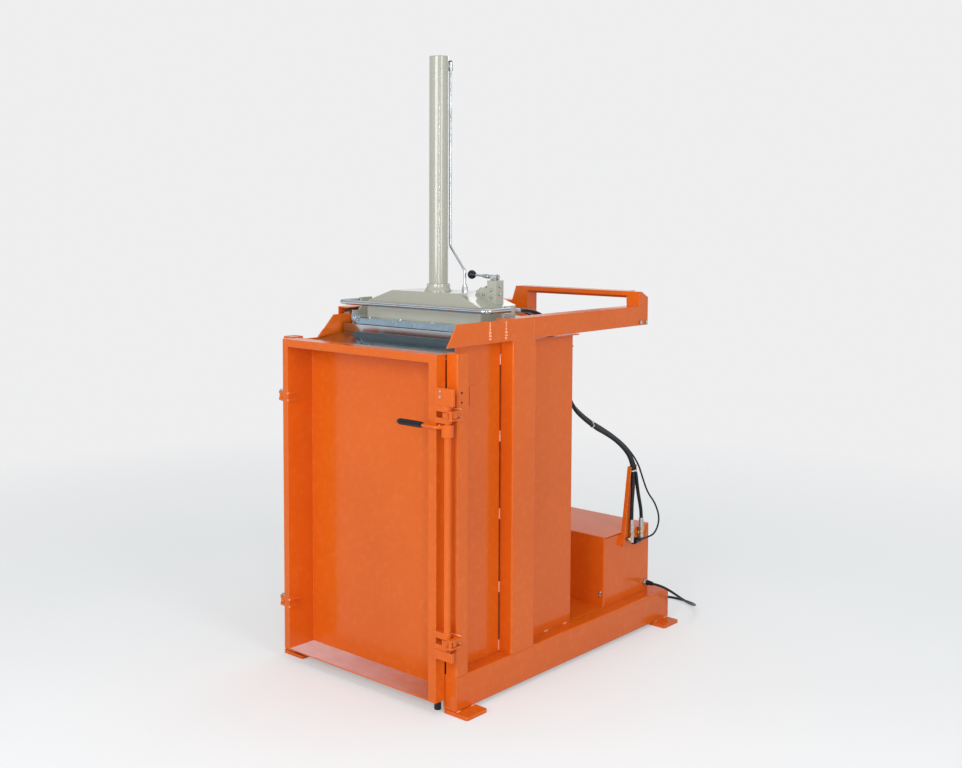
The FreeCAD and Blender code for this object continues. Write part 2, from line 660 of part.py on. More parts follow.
def roller_pins():
    pins = []
    for s in (-1, 1):
        for y in ROLLER_Y:
            x = TROLLEY_X
            shaft = rod(ROLLER_PIN_R, (s * x, y, ROLLER_Z), (s * (x + 55), y, ROLLER_Z))
            collar = rod(14, (s * x, y, ROLLER_Z), (s * (x + 27), y, ROLLER_Z))
            head = rod(13, (s * (x + 51), y, ROLLER_Z), (s * (x + 55), y, ROLLER_Z))
            pins.append(join([shaft, collar, head]))
    return pins


def roller(side, y):
    x0, x1 = TROLLEY_X + 28, TROLLEY_X + 50
    wheel = rod(ROLLER_R, (side * x0, y, ROLLER_Z), (side * x1, y, ROLLER_Z))
    wheel = wheel.makeChamfer(2, [e for e in wheel.Edges if len(e.Vertexes) == 1])
    wheel = wheel.cut(rod(ROLLER_BORE_R, (side * (x0 - 1), y, ROLLER_Z),
                          (side * (x1 + 1), y, ROLLER_Z)))
    for i in range(4):
        a = math.radians(45 + 90 * i)
        c = (y + 20 * math.cos(a), ROLLER_Z + 20 * math.sin(a))
        wheel = wheel.cut(rod(3.5, (side * (x1 - 3), c[0], c[1]), (side * (x1 + 1), c[0], c[1])))
    return wheel


def hood_solid(inset):
    """The hood as a solid, inset on every side: two profiles that meet in a hipped roof."""
    x, xt = HOOD_X - inset, HOOD_TOP_X - inset
    y0, y1 = HOOD_Y[0] + inset, HOOD_Y[1] - inset
    t0, t1 = HOOD_TOP_Y[0] + inset, HOOD_TOP_Y[1] - inset
    low = HOOD_Z[0] - (1 if inset else 0)
    eaves, top = HOOD_Z[1] - inset / 2, HOOD_Z[2] - inset
    front = plate_xz([(-x, low), (x, low), (x, eaves), (xt, top), (-xt, top), (-x, eaves)],
                     y0, y1)
    side = plate_yz([(y0, low), (y1, low), (y1, eaves), (t1, top), (t0, top), (y0, eaves)],
                    -x, x)
    return front.common(side).Solids[0]


def press_hood():
    outer = hood_solid(0)
    upright = [e for e in outer.Edges if e.Length > 30 and
               abs(e.tangentAt(e.FirstParameter).z) > 0.99]
    outer = outer.makeFillet(6, upright) if upright else outer
    shell = outer.cut(hood_solid(HOOD_T))
    return shell.cut(rod(30, (0, AXIS_Y, HOOD_Z[1]), (0, AXIS_Y, HOOD_Z[2] + 1)))


def handlebar():
    x, y, z = TROLLEY_X + 11, 228.0, SIDE_TOP + 125
    bar = route([(-x, 352, z), (-x, y, z), (x, y, z), (x, 352, z)], 9, "handlebar", 32)
    lug = box(TROLLEY_X, TROLLEY_X + 6, 334, 362, z - 13, z + 12)
    return join([bar, lug, mirrored(lug)])


def cylinder_tube():
    tube = Part.makeCylinder(TUBE_R, TUBE_TOP - TUBE_BASE, V(0, AXIS_Y, TUBE_BASE))
    rim = [e for e in tube.Edges if len(e.Vertexes) == 1 and e.BoundBox.ZMin > TUBE_TOP - 1]
    tube = tube.makeFillet(3, rim)
    boss = rod(10, (9, AXIS_Y + 19, TUBE_TOP - 34), (16, AXIS_Y + TUBE_R - 1.1, TUBE_TOP - 34))
    tube = join([tube, boss])
    return tube.cut(Part.makeCylinder(TUBE_BORE_R, TUBE_TOP - TUBE_BASE - 24,
                                      V(0, AXIS_Y, TUBE_BASE)))


def cylinder_collar():
    z = HOOD_Z[2]
    r = STEM_R + STEM_FIT
    a, b = TUBE_R, TUBE_BORE_R - 0.1
    profile = [(r, z - 8), (29.9, z - 8), (29.9, z), (a + 16.4, z), (a + 16.4, z + 4),
               (a + 8.4, z + 16), (a + 7.4, z + 28), (b, z + 28), (b, z + 54), (r, z + 54)]
    points = [V(a, AXIS_Y, b) for a, b in profile]
    face = Part.Face(Part.makePolygon(points + [points[0]]))
    return face.revolve(V(0, AXIS_Y, 0), V(0, 0, 1), 360)


def pressure_pipe():
    base = HOOD_Z[2] + 3
    y = AXIS_Y + TUBE_R + PIPE_OFF
    points = [(20, y, TUBE_TOP - 51), (20, y, TUBE_BASE + 140),
              (103, AXIS_Y + 31, TUBE_BASE + 50), (103, AXIS_Y + 31, base)]
    return route(points, 5, "pressure pipe", 26)


def pipe_fittings():
    y, z = AXIS_Y + TUBE_R + PIPE_OFF, TUBE_TOP - 34
    top = rod(9, (20, y, z - 17), (20, y, z + 15))
    stub = rod(7, (16, AXIS_Y + TUBE_R - 1.1, z), (20, y, z))
    cx, cy, z0 = 103, AXIS_Y + 31, HOOD_Z[2]
    nut = plate_xy([(cx + 12 * math.cos(math.radians(60 * i)),
                     cy + 12 * math.sin(math.radians(60 * i))) for i in range(6)],
                   z0, z0 + 17)
    sleeve = rod(8, (cx, cy, z0 + 17), (cx, cy, z0 + 26))
    bore = rod(5, (cx, cy, z0 + 3), (cx, cy, z0 + 30))
    return [join([top, stub]), join([nut, sleeve]).cut(bore)]


def valve_body():
    """A stepped casting on the hood's right slope with two ears for the lever."""
    y0, y1, low = AXIS_Y + 8, AXIS_Y + 52, HOOD_Z[1]
    pieces = [box(228, 268, y0, y1, low, HOOD_Z[2] + 47),
              box(190, 228, y0 + 4, y1 - 4, low, HOOD_Z[2] + 20),
              box(168, 190, y0 + 10, y1 - 10, low, HOOD_Z[2] + 10),
              box(234, 258, AXIS_Y + 18, AXIS_Y + 24, HOOD_Z[2] + 46, HOOD_Z[2] + 66),
              box(234, 258, AXIS_Y + 36, AXIS_Y + 42, HOOD_Z[2] + 46, HOOD_Z[2] + 66)]
    body = join(pieces).cut(hood_solid(0))
    z = HOOD_Z[2] + 58
    return body.cut(rod(4.06, (246, AXIS_Y + 10, z), (246, AXIS_Y + 50, z)))


def lever_arm():
    y, z = AXIS_Y + 30, HOOD_Z[2] + 58
    pin = rod(4, (246, y - 12, z), (246, y + 12, z))
    hub = rod(7, (246, y - 5.5, z), (246, y + 5.5, z))
    arm = rod(4, (246, y, z), (146, y, z + 6))
    return join([pin, hub, arm])


def lever_knob():
    y, z = AXIS_Y + 30, HOOD_Z[2] + 58
    axis = V(100, 0, -6).normalize()
    centre = V(146, y, z + 6) - axis * 8
    r, hole = 16.5, 4.0
    mouth = math.sqrt(r * r - hole * hole)
    edges = [Part.Arc(V(hole, 0, mouth), V(r, 0, 0), V(0, 0, -r)).toShape(),
             Part.makeLine(V(0, 0, -r), V(0, 0, 8)),
             Part.makeLine(V(0, 0, 8), V(hole, 0, 8)),
             Part.makeLine(V(hole, 0, 8), V(hole, 0, mouth))]
    ball = Part.Face(Part.Wire(edges)).revolve(V(0, 0, 0), V(0, 0, 1), 360)
    ball.Placement = FreeCAD.Placement(centre, FreeCAD.Rotation(V(0, 0, 1), axis))
    return ball


def hose_ferrules():
    z, y = SIDE_TOP + 106, HOOD_Y[1]
    out = []
    for x in (262.0, 238.0):
        nut = plate_xz([(x + 11 * math.cos(math.radians(60 * i)),
                         z + 11 * math.sin(math.radians(60 * i))) for i in range(6)],
                       y, y + 14)
        out.append(join([nut, rod(9.3, (x, y + 14, z), (x, y + 45, z))]))
    out.append(join([rod(8, (205, y, z), (205, y + 8, z)), rod(5, (205, y + 8, z), (205, y + 14, z))]))
    return out


def piston_rod():
    z0 = PLATE_TOP
    shaft = rod(STEM_R, (0, AXIS_Y, z0), (0, AXIS_Y, TUBE_TOP - 59))
    foot = rod(32, (0, AXIS_Y, z0), (0, AXIS_Y, z0 + 14))
    piston = rod(TUBE_BORE_R - PISTON_FIT, (0, AXIS_Y, TUBE_TOP - 59), (0, AXIS_Y, TUBE_TOP - 29))
    return join([shaft, foot, piston])


def press_plate():
    b, top = PLATE_BOTTOM, PLATE_TOP
    outer = [(88, b), (88, b + 8), (236, b + 38), (236, top), (500, top), (500, b + 38),
             (702, b + 8), (702, b)]
    inner = [(112, b + 8), (240, b + 34), (240, top - 5), (496, top - 5), (496, b + 34),
             (676, b + 8)]
    shell = plate_yz(outer, -PLATE_HALF, PLATE_HALF).cut(
        plate_yz(inner, -PLATE_HALF - 1, PLATE_HALF + 1))
    core = box(-45, 45, AXIS_Y - 60, AXIS_Y + 60, b + 4, top - 2)
    return join([shell, core])


# ---- power pack and leads -----------------------------------------------------
def pack_cover():
    x = WALL_OUT
    outer = box(-x, x, PACK_FRONT, PACK_REAR, DECK_Z, PACK_TOP)
    outer = rounded_along(outer, V(0, 0, 1), 7)
    outer = outer.makeFillet(4, [e for e in outer.Edges if e.BoundBox.ZMin > PACK_TOP - 1])
    s = PACK_SHEET
    return outer.cut(box(-x + s, x - s, PACK_FRONT + s, PACK_REAR - s, DECK_Z - 1, PACK_TOP - s))


def oil_tank():
    x0, x1, y0, y1, z0, z1 = -340, -60, PACK_FRONT + 35, PACK_REAR - 32, DECK_Z, PACK_TOP - 37
    outer = rounded_along(box(x0, x1, y0, y1, z0, z1), V(0, 0, 1), 12)
    filler = rod(22, (x0 + 60, y0 + 60, z1 - 4), (x0 + 60, y0 + 60, z1 + 18))
    inner = rounded_along(box(x0 + 3, x1 - 3, y0 + 3, y1 - 3, z0 + 3, z1 - 3), V(0, 0, 1), 9)
    bore = rod(12, (x0 + 60, y0 + 60, z1 - 6), (x0 + 60, y0 + 60, z1 + 19))
    return join([outer, filler]).cut(inner).cut(bore)


def electric_motor():
    y, z = (PACK_FRONT + PACK_REAR) / 2, DECK_Z + 110
    can = rod(78, (-20, y, z), (170, y, z))
    can = can.makeFillet(8, [e for e in can.Edges if len(e.Vertexes) == 1])
    foot = box(10, 140, y - 60, y + 60, DECK_Z, z - 60)
    return join([can, foot])


def gear_pump():
    y, z = (PACK_FRONT + PACK_REAR) / 2, DECK_Z + 110
    flange = rod(52, (170, y, z), (186, y, z))
    body = rounded_along(box(186, 270, y - 38, y + 38, z - 45, z + 45), V(1, 0, 0), 10)
    return join([flange, body])


def hose_bracket():
    x = WALL_OUT
    low, high = PACK_TOP - 55, PACK_TOP + 258
    back = plate_yz([(1060, low), (1108, high), (1171, high), (1135, low)], x, x + 3)
    lip = plate_yz([(1060, low), (1108, high), (1111, high), (1063, low)], x, x + 17)
    return join([back, lip])


def port(y, z0, z1, x_face):
    """A steel elbow with its nut and hose ferrule."""
    x = WALL_OUT + 13
    stub = rod(8, (x_face, y, z0), (x, y, z0))
    knee = rod(9, (x, y, z0 - 9), (x, y, z0 + 14))
    nut = plate_xy([(x + 9.8 * math.cos(math.radians(60 * i)),
                     y + 9.8 * math.sin(math.radians(60 * i))) for i in range(6)],
                   z0 + 14, z0 + 26)
    return join([stub, knee, nut, rod(9, (x, y, z0 + 26), (x, y, z1))])


def port_fittings():
    return [port(1123, PACK_TOP - 35, PACK_TOP + 43, WALL_OUT + 3),
            port(1193, PACK_TOP - 25, PACK_TOP + 38, WALL_OUT)]


def drop(share):
    """A height between the held stretch at the bracket, 0, and the chamber's top, 1."""
    low = PACK_TOP + HELD_RISE
    return low + share * (SIDE_TOP - low)


def hose_path(index):
    """Corner points of hose 0 or hose 1, from the hood's ferrule to the pack's."""
    top, x, low = SIDE_TOP, WALL_OUT, PACK_TOP
    if index == 0:
        return [(262, 543, top + 106), (262, 640, top + 106), (x - 92, 737, top + 32),
                (x - 69, 772, drop(0.80)), (x - 49, 772, drop(0.47)),
                (x - 32, 905, drop(0.275)), (x - 23, 1006, drop(0.18)),
                (x - 10, 1064, drop(0.1)), (x + 4, 1112, low + 305),
                (x + 13, 1129, low + 243), (x + 14, 1126, low + 153),
                (x + 13, 1123, low + 93), (x + 13, 1123, low + 43)]
    return [(238, 543, top + 106), (238, 646, top + 106), (x - 112, 745, top + 38),
            (x - 88, 790, drop(0.82)), (x - 68, 788, drop(0.49)),
            (x - 48, 912, drop(0.3)), (x - 39, 1012, drop(0.2)),
            (x - 25, 1073, drop(0.115)), (x - 2, 1124, low + 311),
            (x + 14, 1145, low + 245), (x + 14, 1162, low + 153),
            (x + 13, 1193, low + 68), (x + 13, 1193, low + 38)]


def hydraulic_hoses():
    return [route(hose_path(i), HOSE_R, "hose %d" % i) for i in (0, 1)]


def control_path():
    """The control lead: beside the hoses, then a free loop back to the pack."""
    top, x, low = SIDE_TOP, WALL_OUT, PACK_TOP
    return [(205, 512, top + 106), (205, 600, top + 106), (x - 152, 688, top + 74),
            (x - 128, 745, drop(1.04)), (x - 108, 790, drop(0.84)),
            (x - 94, 804, drop(0.66)), (x - 84, 812, drop(0.5)),
            (x - 63, 905, drop(0.335)), (x - 54, 1005, drop(0.235)),
            (x - 40, 1070, drop(0.155)), (x - 20, 1130, low + 333),
            (x + 12, 1164, low + 269), (x + 28, 1178, low + 201),
            (x + 30, 1212, low + 139), (x + 29, 1272, low + 87), (x + 28, 1312, low + 13),
            (x + 22, 1286, low - 45), (x + 11, 1240, low - 54), (x + 11, 1192, low - 54)]


def cable_connector():
    x, z = WALL_OUT, PACK_TOP - 54
    base = box(x, x + 4, 1146, 1196, z - 11, z + 11)
    shell = rod(9, (x + 11, 1150, z), (x + 11, 1186, z))
    boot = Part.makeCone(8, 5, 6, V(x + 11, 1186, z), V(0, 1, 0))
    return join([base, shell, boot])


def mains_gland():
    x, y, z = WALL_OUT, PACK_REAR - GLAND_INSET, DECK_Z + 35
    nut = rod(11, (x, y, z), (x + 14, y, z))
    relief = Part.makeCone(9, 6, 26, V(x + 14, y, z), V(1, 0, 0))
    return join([nut, relief])


def mains_path(head, tangent):
    y, z = PACK_REAR - GLAND_INSET, DECK_Z + 35
    x = WALL_OUT + 40
    low = MAINS_R + 0.2
    back = head - tangent * 90
    return [(x, y, z), (x + 38, y, z), (x + 68, y + 34, z - 26),
            (x + 84, y + 96, z - 70), (x + 80, y + 190, z - 118), (x + 30, y + 300, low + 8),
            (x - 90, y + 345, low), (back.x, back.y, low), (head.x, head.y, low)]


def mains_plug(tail, tangent):
    """A round industrial plug lying on the floor at the end of the lead."""
    z = tail.z
    a = V(tail.x, tail.y, z)
    side = tangent
    relief = Part.makeCone(6, 10, 34, a, side)
    body = Part.makeCylinder(MAINS_R * 3.14, 62, a + side * 34, side)
    nose = Part.makeCylinder(13.5, 34, a + side * 96, side)
    return join([relief, body, nose])


def build():
    save("base_rail_right", base_rail())
    save("base_rail_left", mirrored(base_rail()))
    save("rear_cross_member", rear_cross_member())
    save("foot_plates", foot_plates())
    save("floor_plate", floor_plate())
    save("front_post_right", front_post(1))
    save("front_post_left", front_post(-1))
    save("mid_post_right", mid_post())
    save("mid_post_left", mirrored(mid_post()))
    save("side_wall_right", side_wall(1))
    save("side_wall_left", side_wall(-1))
    save("rear_wall", rear_wall())
    save("top_rail_right", top_rail(1))
    save("top_rail_left", top_rail(-1))
    save("rear_portal", rear_portal())
    save("portal_bolts", portal_bolts())
    save("hinge_lugs", hinge_lugs())
    save("hinge_pins", hinge_pins())
    save("lock_keepers", lock_keepers())
    save("door_tray", door_tray())
    save("door_buffer", door_buffer())
    save("lock_brackets", lock_brackets())
    save("lock_covers", lock_covers())
    save("lock_rod", lock_rod())
    save("lock_cams", lock_cams())
    save("handle_arm", handle_arm())
    save("handle_grip", handle_grip())
    save("trolley_chassis", trolley_chassis())
    save("front_beam", front_beam())
    save("roller_pins", roller_pins())
    for name, side, y in (("front_left", -1, 0), ("front_right", 1, 0),
                          ("rear_left", -1, 1), ("rear_right", 1, 1)):
        save("roller_" + name, roller(side, ROLLER_Y[y]))
    save("press_hood", press_hood())
    save("handlebar", handlebar())
    save("cylinder_tube", cylinder_tube())
    save("cylinder_collar", cylinder_collar())
    save("pressure_pipe", pressure_pipe())
    save("pipe_fittings", pipe_fittings())
    save("valve_body", valve_body())
    save("lever_arm", lever_arm())
    save("lever_knob", lever_knob())
    save("hose_ferrules", hose_ferrules())
    save("piston_rod", piston_rod())
    save("press_plate", press_plate())
    save("pack_cover", pack_cover())
    save("oil_tank", oil_tank())
    save("electric_motor", electric_motor())
    save("gear_pump", gear_pump())
    save("hose_bracket", hose_bracket())
    save("port_fittings", port_fittings())
    save("hydraulic_hoses", hydraulic_hoses())
    save("control_cable", route(control_path(), CABLE_R, "control lead"))
    save("cable_connector", cable_connector())
    save("mains_gland", mains_gland())
    wound, head, head_dir, tail, tail_dir = coil()
    save("mains_coil", wound)
    save("mains_cable", route(mains_path(head, head_dir), MAINS_R, "mains lead"))
    save("mains_plug", mains_plug(tail, tail_dir))
    print("origin", ORIGIN)


build()
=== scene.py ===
import json
import math
import bpy
from mathutils import Matrix, Vector


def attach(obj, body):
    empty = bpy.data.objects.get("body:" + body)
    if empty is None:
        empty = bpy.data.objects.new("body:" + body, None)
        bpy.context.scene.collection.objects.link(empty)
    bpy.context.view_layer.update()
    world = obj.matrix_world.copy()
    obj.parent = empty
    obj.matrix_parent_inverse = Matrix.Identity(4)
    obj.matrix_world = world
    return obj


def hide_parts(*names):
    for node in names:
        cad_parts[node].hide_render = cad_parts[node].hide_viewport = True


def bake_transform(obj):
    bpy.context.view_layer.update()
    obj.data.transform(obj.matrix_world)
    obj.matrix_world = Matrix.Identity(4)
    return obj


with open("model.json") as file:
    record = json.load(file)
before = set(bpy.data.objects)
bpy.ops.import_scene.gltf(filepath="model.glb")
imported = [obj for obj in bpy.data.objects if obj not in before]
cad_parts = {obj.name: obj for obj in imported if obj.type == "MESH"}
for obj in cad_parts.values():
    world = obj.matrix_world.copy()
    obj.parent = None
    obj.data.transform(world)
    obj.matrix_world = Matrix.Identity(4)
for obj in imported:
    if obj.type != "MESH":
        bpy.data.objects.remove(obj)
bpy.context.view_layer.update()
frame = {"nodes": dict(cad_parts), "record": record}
scene = bpy.context.scene

# ---- machine sizes, in millimetres, as in the part's source -------------------
# X = 0 on the middle plane, Y = 0 at the front end of the base rails, Z = 0 on the floor.
ANCHORS_X, ANCHORS_Y = 56.0, 660.0   # centre of the four floor anchors: the row frame's origin
SIDE = 432.0             # outer faces of the base rails, posts and top rails
WALL_FACE = 374.0        # outer faces of the side walls and of the power pack
DECK = 130.0             # top of the base rails
RAIL_END = 1245.0        # front face of the rear cross member
MID_FRONT = 294.0        # front faces of the middle posts
TOP_RAIL_Z = 1236.0      # underside of the top rails
TOP_RAIL_TOP = 1311.0
PACK_FRONT = 950.0       # front face of the power pack
FOOT_TOP = 12.0          # top of the foot plates
POST_BEAD_Y = -1.0       # beads on the front posts' faces, at the keepers and hinge lugs
DOOR_EDGE = 381.0        # right edge of the door
CAM_HEIGHTS = (262.0, 1018.5)        # the lock's two cams and their keepers
HINGE_HEIGHTS = (220.0, 998.0)
GRIP_END, GRIP_Y, GRIP_Z = 322.0, -68.0, 979.0     # first ring of the hand grip
PLUG_END, PLUG_Y, PLUG_Z = 220.0, 1418.0, 16.0     # first rib of the mains plug
PIVOT_X, PIVOT_Y, PIVOT_Z = 246.0, 420.0, 1443.0   # the valve lever's pin
PORT_X = 387.0           # upright axis of the hose fittings on the pack
GLAND_Y, GLAND_Z = 1244.0, 165.0     # the mains lead's gland
FORWARD, SIDEWAYS, BACKWARD, UP = (0, -1, 0), (1, 0, 0), (0, 1, 0), (0, 0, 1)


def M(x, y, z):
    """Machine millimetres to the row frame."""
    return Vector(((x - ANCHORS_X) / 1000, (y - ANCHORS_Y) / 1000, z / 1000))


# ---- camera ---------------------------------------------------------------
CAMERA_AT = (2.921, -3.610, 1.665)
CAMERA_TURN, CAMERA_TILT = math.radians(43.4), math.radians(4.22)


def set_camera():
    """The photograph's own view."""
    turn, tilt = CAMERA_TURN, CAMERA_TILT
    right = Vector((math.cos(turn), math.sin(turn), 0))
    back = Vector((math.sin(turn) * math.cos(tilt), -math.cos(turn) * math.cos(tilt),
                   math.sin(tilt)))
    up = back.cross(right)
    camera = bpy.data.cameras.new("camera")
    camera.lens = 44.94
    camera.shift_x = 0.081
    camera.shift_y = -0.083
    camera.clip_end = 60
    eye = bpy.data.objects.new("camera", camera)
    eye.matrix_world = Matrix.Translation(CAMERA_AT) @ Matrix(
        (right, up, back)).transposed().to_4x4()
    scene.collection.objects.link(eye)
    scene.camera = eye


set_camera()


# ---- meshes ---------------------------------------------------------------
def place(name, verts, faces, smooth=True):
    mesh = bpy.data.meshes.new(name)
    mesh.from_pydata([tuple(v) for v in verts], [], faces)
    mesh.polygons.foreach_set("use_smooth", [smooth] * len(mesh.polygons))
    mesh.update()
    piece = bpy.data.objects.new(name, mesh)
    scene.collection.objects.link(piece)
    return piece


def dress(piece, finish, body):
    """Gives a new piece its finish and lets it move with a body."""
    piece.data.materials.append(finish)
    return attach(piece, body)


def ring_faces(rings, sides):
    """Quads between rings of vertices, and a cap at each end."""
    faces = []
    for k in range(rings - 1):
        for i in range(sides):
            j = (i + 1) % sides
            faces.append((k * sides + i, k * sides + j, (k + 1) * sides + j, (k + 1) * sides + i))
    faces.append(tuple(range(sides))[::-1])
    faces.append(tuple(range((rings - 1) * sides, rings * sides)))
    return faces


def lathe(name, profile, origin, direction, body, finish, sides=32, phase=0.0, smooth=True):
    """A turned piece. The profile is pairs of radius and height in millimetres."""
    w = Vector(direction).normalized()
    u = w.orthogonal().normalized()
    v = w.cross(u)
    verts = []
    for r, h in profile:
        for i in range(sides):
            a = phase + 2 * math.pi * i / sides
            verts.append(origin + (u * math.cos(a) + v * math.sin(a)) * (r / 1000) + w * (h / 1000))
    piece = place(name, verts, ring_faces(len(profile), sides), smooth)
    if smooth:
        edge = piece.modifiers.new("sharp", "EDGE_SPLIT")
        edge.split_angle = math.radians(35)
    return dress(piece, FINISH[finish], body)


def tube_mesh(name, points, radius, sides, ripple=None):
    """A tube that follows points; ripple scales the radius along it."""
    verts = []
    n = len(points)
    u = None
    for k in range(n):
        t = (points[min(k + 1, n - 1)] - points[max(k - 1, 0)]).normalized()
        u = t.orthogonal().normalized() if u is None else (u - t * u.dot(t)).normalized()
        v = t.cross(u)
        r = radius * (ripple(k, n) if ripple else 1.0)
        for i in range(sides):
            a = 2 * math.pi * i / sides
            verts.append(points[k] + (u * math.cos(a) + v * math.sin(a)) * r)
    return place(name, verts, ring_faces(n, sides))


def spline(name, points, resolution):
    """A NURBS curve through its route's control points."""
    curve = bpy.data.curves.new(name, "CURVE")
    curve.dimensions = "3D"
    curve.resolution_u = resolution
    line = curve.splines.new("NURBS")
    line.points.add(len(points) - 1)
    for p, q in zip(line.points, points):
        p.co = (q[0], q[1], q[2], 1)
    line.order_u = 3
    line.use_endpoint_u = True
    return curve


def centreline(points):
    """The points of the route's own NURBS spline."""
    holder = bpy.data.objects.new("route", spline("route", points, 14))
    scene.collection.objects.link(holder)
    bpy.context.view_layer.update()
    mesh = bpy.data.meshes.new_from_object(holder)
    line = [v.co.copy() for v in mesh.vertices]
    bpy.data.objects.remove(holder)
    return line


# ---- materials --------------------------------------------------------------
def linear(rgb):
    """An sRGB colour, 0 to 255, in linear values."""
    return tuple(((c / 255 + 0.055) / 1.055) ** 2.4 for c in rgb) + (1,)


class Finish:
    """A node tree in short calls."""

    def __init__(self, name, roughness=0.5, metallic=0.0, coat=0.0, coat_roughness=0.1,
                 specular=0.5):
        self.material = bpy.data.materials.new(name)
        self.material.use_nodes = True
        self.tree = self.material.node_tree
        self.shader = self.tree.nodes["Principled BSDF"]
        self.shader.inputs["Roughness"].default_value = roughness
        self.shader.inputs["Metallic"].default_value = metallic
        self.shader.inputs["Coat Weight"].default_value = coat
        self.shader.inputs["Coat Roughness"].default_value = coat_roughness
        self.shader.inputs["Specular IOR Level"].default_value = specular
        self.where = self.add("ShaderNodeTexCoord").outputs["Object"]
        self.normal = None

    def add(self, kind, **values):
        node = self.tree.nodes.new(kind)
        for key, value in values.items():
            setattr(node, key, value)
        return node

    def join(self, out, into):
        self.tree.links.new(out, into)

    def stretched(self, scale):
        node = self.add("ShaderNodeMapping")
        node.inputs["Scale"].default_value = scale
        self.join(self.where, node.inputs["Vector"])
        return node.outputs["Vector"]

    def noise(self, scale, detail=3.0, rough=0.55, vector=None):
        node = self.add("ShaderNodeTexNoise")
        node.inputs["Scale"].default_value = scale
        node.inputs["Detail"].default_value = detail
        node.inputs["Roughness"].default_value = rough
        self.join(vector or self.where, node.inputs["Vector"])
        return node.outputs["Fac"]

    def cells(self, scale):
        """A random colour per cell, as three values."""
        node = self.add("ShaderNodeTexVoronoi")
        node.inputs["Scale"].default_value = scale
        self.join(self.where, node.inputs["Vector"])
        parts = self.add("ShaderNodeSeparateColor")
        self.join(node.outputs["Color"], parts.inputs[0])
        return parts.outputs

    def band(self, value, low, high, to_low=0.0, to_high=1.0):
        node = self.add("ShaderNodeMapRange")
        for i, number in enumerate((low, high, to_low, to_high)):
            node.inputs[i + 1].default_value = number
        self.join(value, node.inputs[0])
        return node.outputs[0]

    def calc(self, kind, a, b):
        node = self.add("ShaderNodeMath", operation=kind)
        for socket, value in zip(node.inputs, (a, b)):
            if isinstance(value, (int, float)):
                socket.default_value = value
            else:
                self.join(value, socket)
        return node.outputs[0]

    def plus(self, a, b):
        return self.calc("ADD", a, b)

    def times(self, a, b):
        return self.calc("MULTIPLY", a, b)

    def larger(self, a, b):
        return self.calc("MAXIMUM", a, b)

    def mix(self, fac, a, b):
        node = self.add("ShaderNodeMix", data_type="RGBA")
        for socket, value in ((node.inputs[0], fac), (node.inputs[6], a), (node.inputs[7], b)):
            if isinstance(value, tuple):
                socket.default_value = value
            else:
                self.join(value, socket)
        return node.outputs[2]

    def edges(self, radius):
        """1 along edges, 0 on flats, from the cosine between the face's and a softened
        normal, which it keeps for the shader."""
        bevel = self.add("ShaderNodeBevel", samples=4)
        bevel.inputs["Radius"].default_value = radius
        self.normal = bevel.outputs["Normal"]
        face = self.add("ShaderNodeNewGeometry")
        dot = self.add("ShaderNodeVectorMath", operation="DOT_PRODUCT")
        self.join(bevel.outputs["Normal"], dot.inputs[0])
        self.join(face.outputs["Normal"], dot.inputs[1])
        return self.band(dot.outputs["Value"], 0.995, 0.86)

    def bump(self, height, distance, strength):
        node = self.add("ShaderNodeBump")
        node.inputs["Strength"].default_value = strength
        node.inputs["Distance"].default_value = distance
        self.join(height, node.inputs["Height"])
        if self.normal:
            self.join(self.normal, node.inputs["Normal"])
        self.normal = node.outputs["Normal"]

    def done(self, colour, roughness=None):
        self.join(colour, self.shader.inputs["Base Color"])
        if roughness is not None:
            self.join(roughness, self.shader.inputs["Roughness"])
        if self.normal:
            self.join(self.normal, self.shader.inputs["Normal"])
        return self.material


def powder_coat(name, deep, plain, bright, roughness, peel, shine, coat):
    """Sprayed and baked paint: cloudy tone, orange peel, a painted highlight lightening the edges,
    rub marks.
    """
    deep, plain, bright = linear(deep), linear(plain), linear(bright)
    f = Finish(name, coat=coat, coat_roughness=0.06, specular=shine)
    rim = f.edges(0.0021)
    cloud = f.noise(2.3, 4)
    fine = f.noise(38, 5, 0.6)
    tone = f.mix(f.band(cloud, 0.25, 0.75), deep, plain)
    tone = f.mix(f.times(f.band(fine, 0.5, 0.8), 0.16), tone, bright)
    # painted highlight: edges lightened towards the bright tone, broken by noise
    edge_highlight = f.times(rim, f.band(f.noise(55, 4, 0.7), 0.40, 0.62, 0.45, 1.0))
    tone = f.mix(f.times(edge_highlight, 0.8), tone, bright)
    rub = f.band(f.noise(1.0, 6, 0.72, f.stretched((26, 26, 2.2))), 0.60, 0.74)
    rough = f.plus(f.band(fine, 0.3, 0.75, roughness - 0.05, roughness + 0.07),
                   f.times(rub, 0.08))
    f.bump(f.noise(420, 2, 0.5), 0.0004, peel)
    f.bump(cloud, 0.004, 0.12)
    return f.done(tone, rough)


def galvanised(name, dark, light, hazy, dull):
    """Bright zinc-coated sheet: a mirror with faint spangle, a rolled grain and haze."""
    f = Finish(name, metallic=1.0)
    f.edges(0.0012)
    flakes = f.cells(55)
    patch = f.noise(4, 4, 0.6)
    grain = f.noise(1.0, 3, 0.6, f.stretched((5, 300, 300)))
    tone = f.mix(flakes[0], dark, light)
    tone = f.mix(f.times(f.band(patch, 0.45, 0.75), 0.4), tone, hazy)
    rough = f.plus(f.band(flakes[1], 0, 1, dull, dull + 0.015), f.band(patch, 0.4, 0.8, 0, 0.06))
    f.bump(grain, 0.0001, 0.05)
    f.bump(f.noise(5, 2), 0.001, 0.10)
    return f.done(tone, rough)


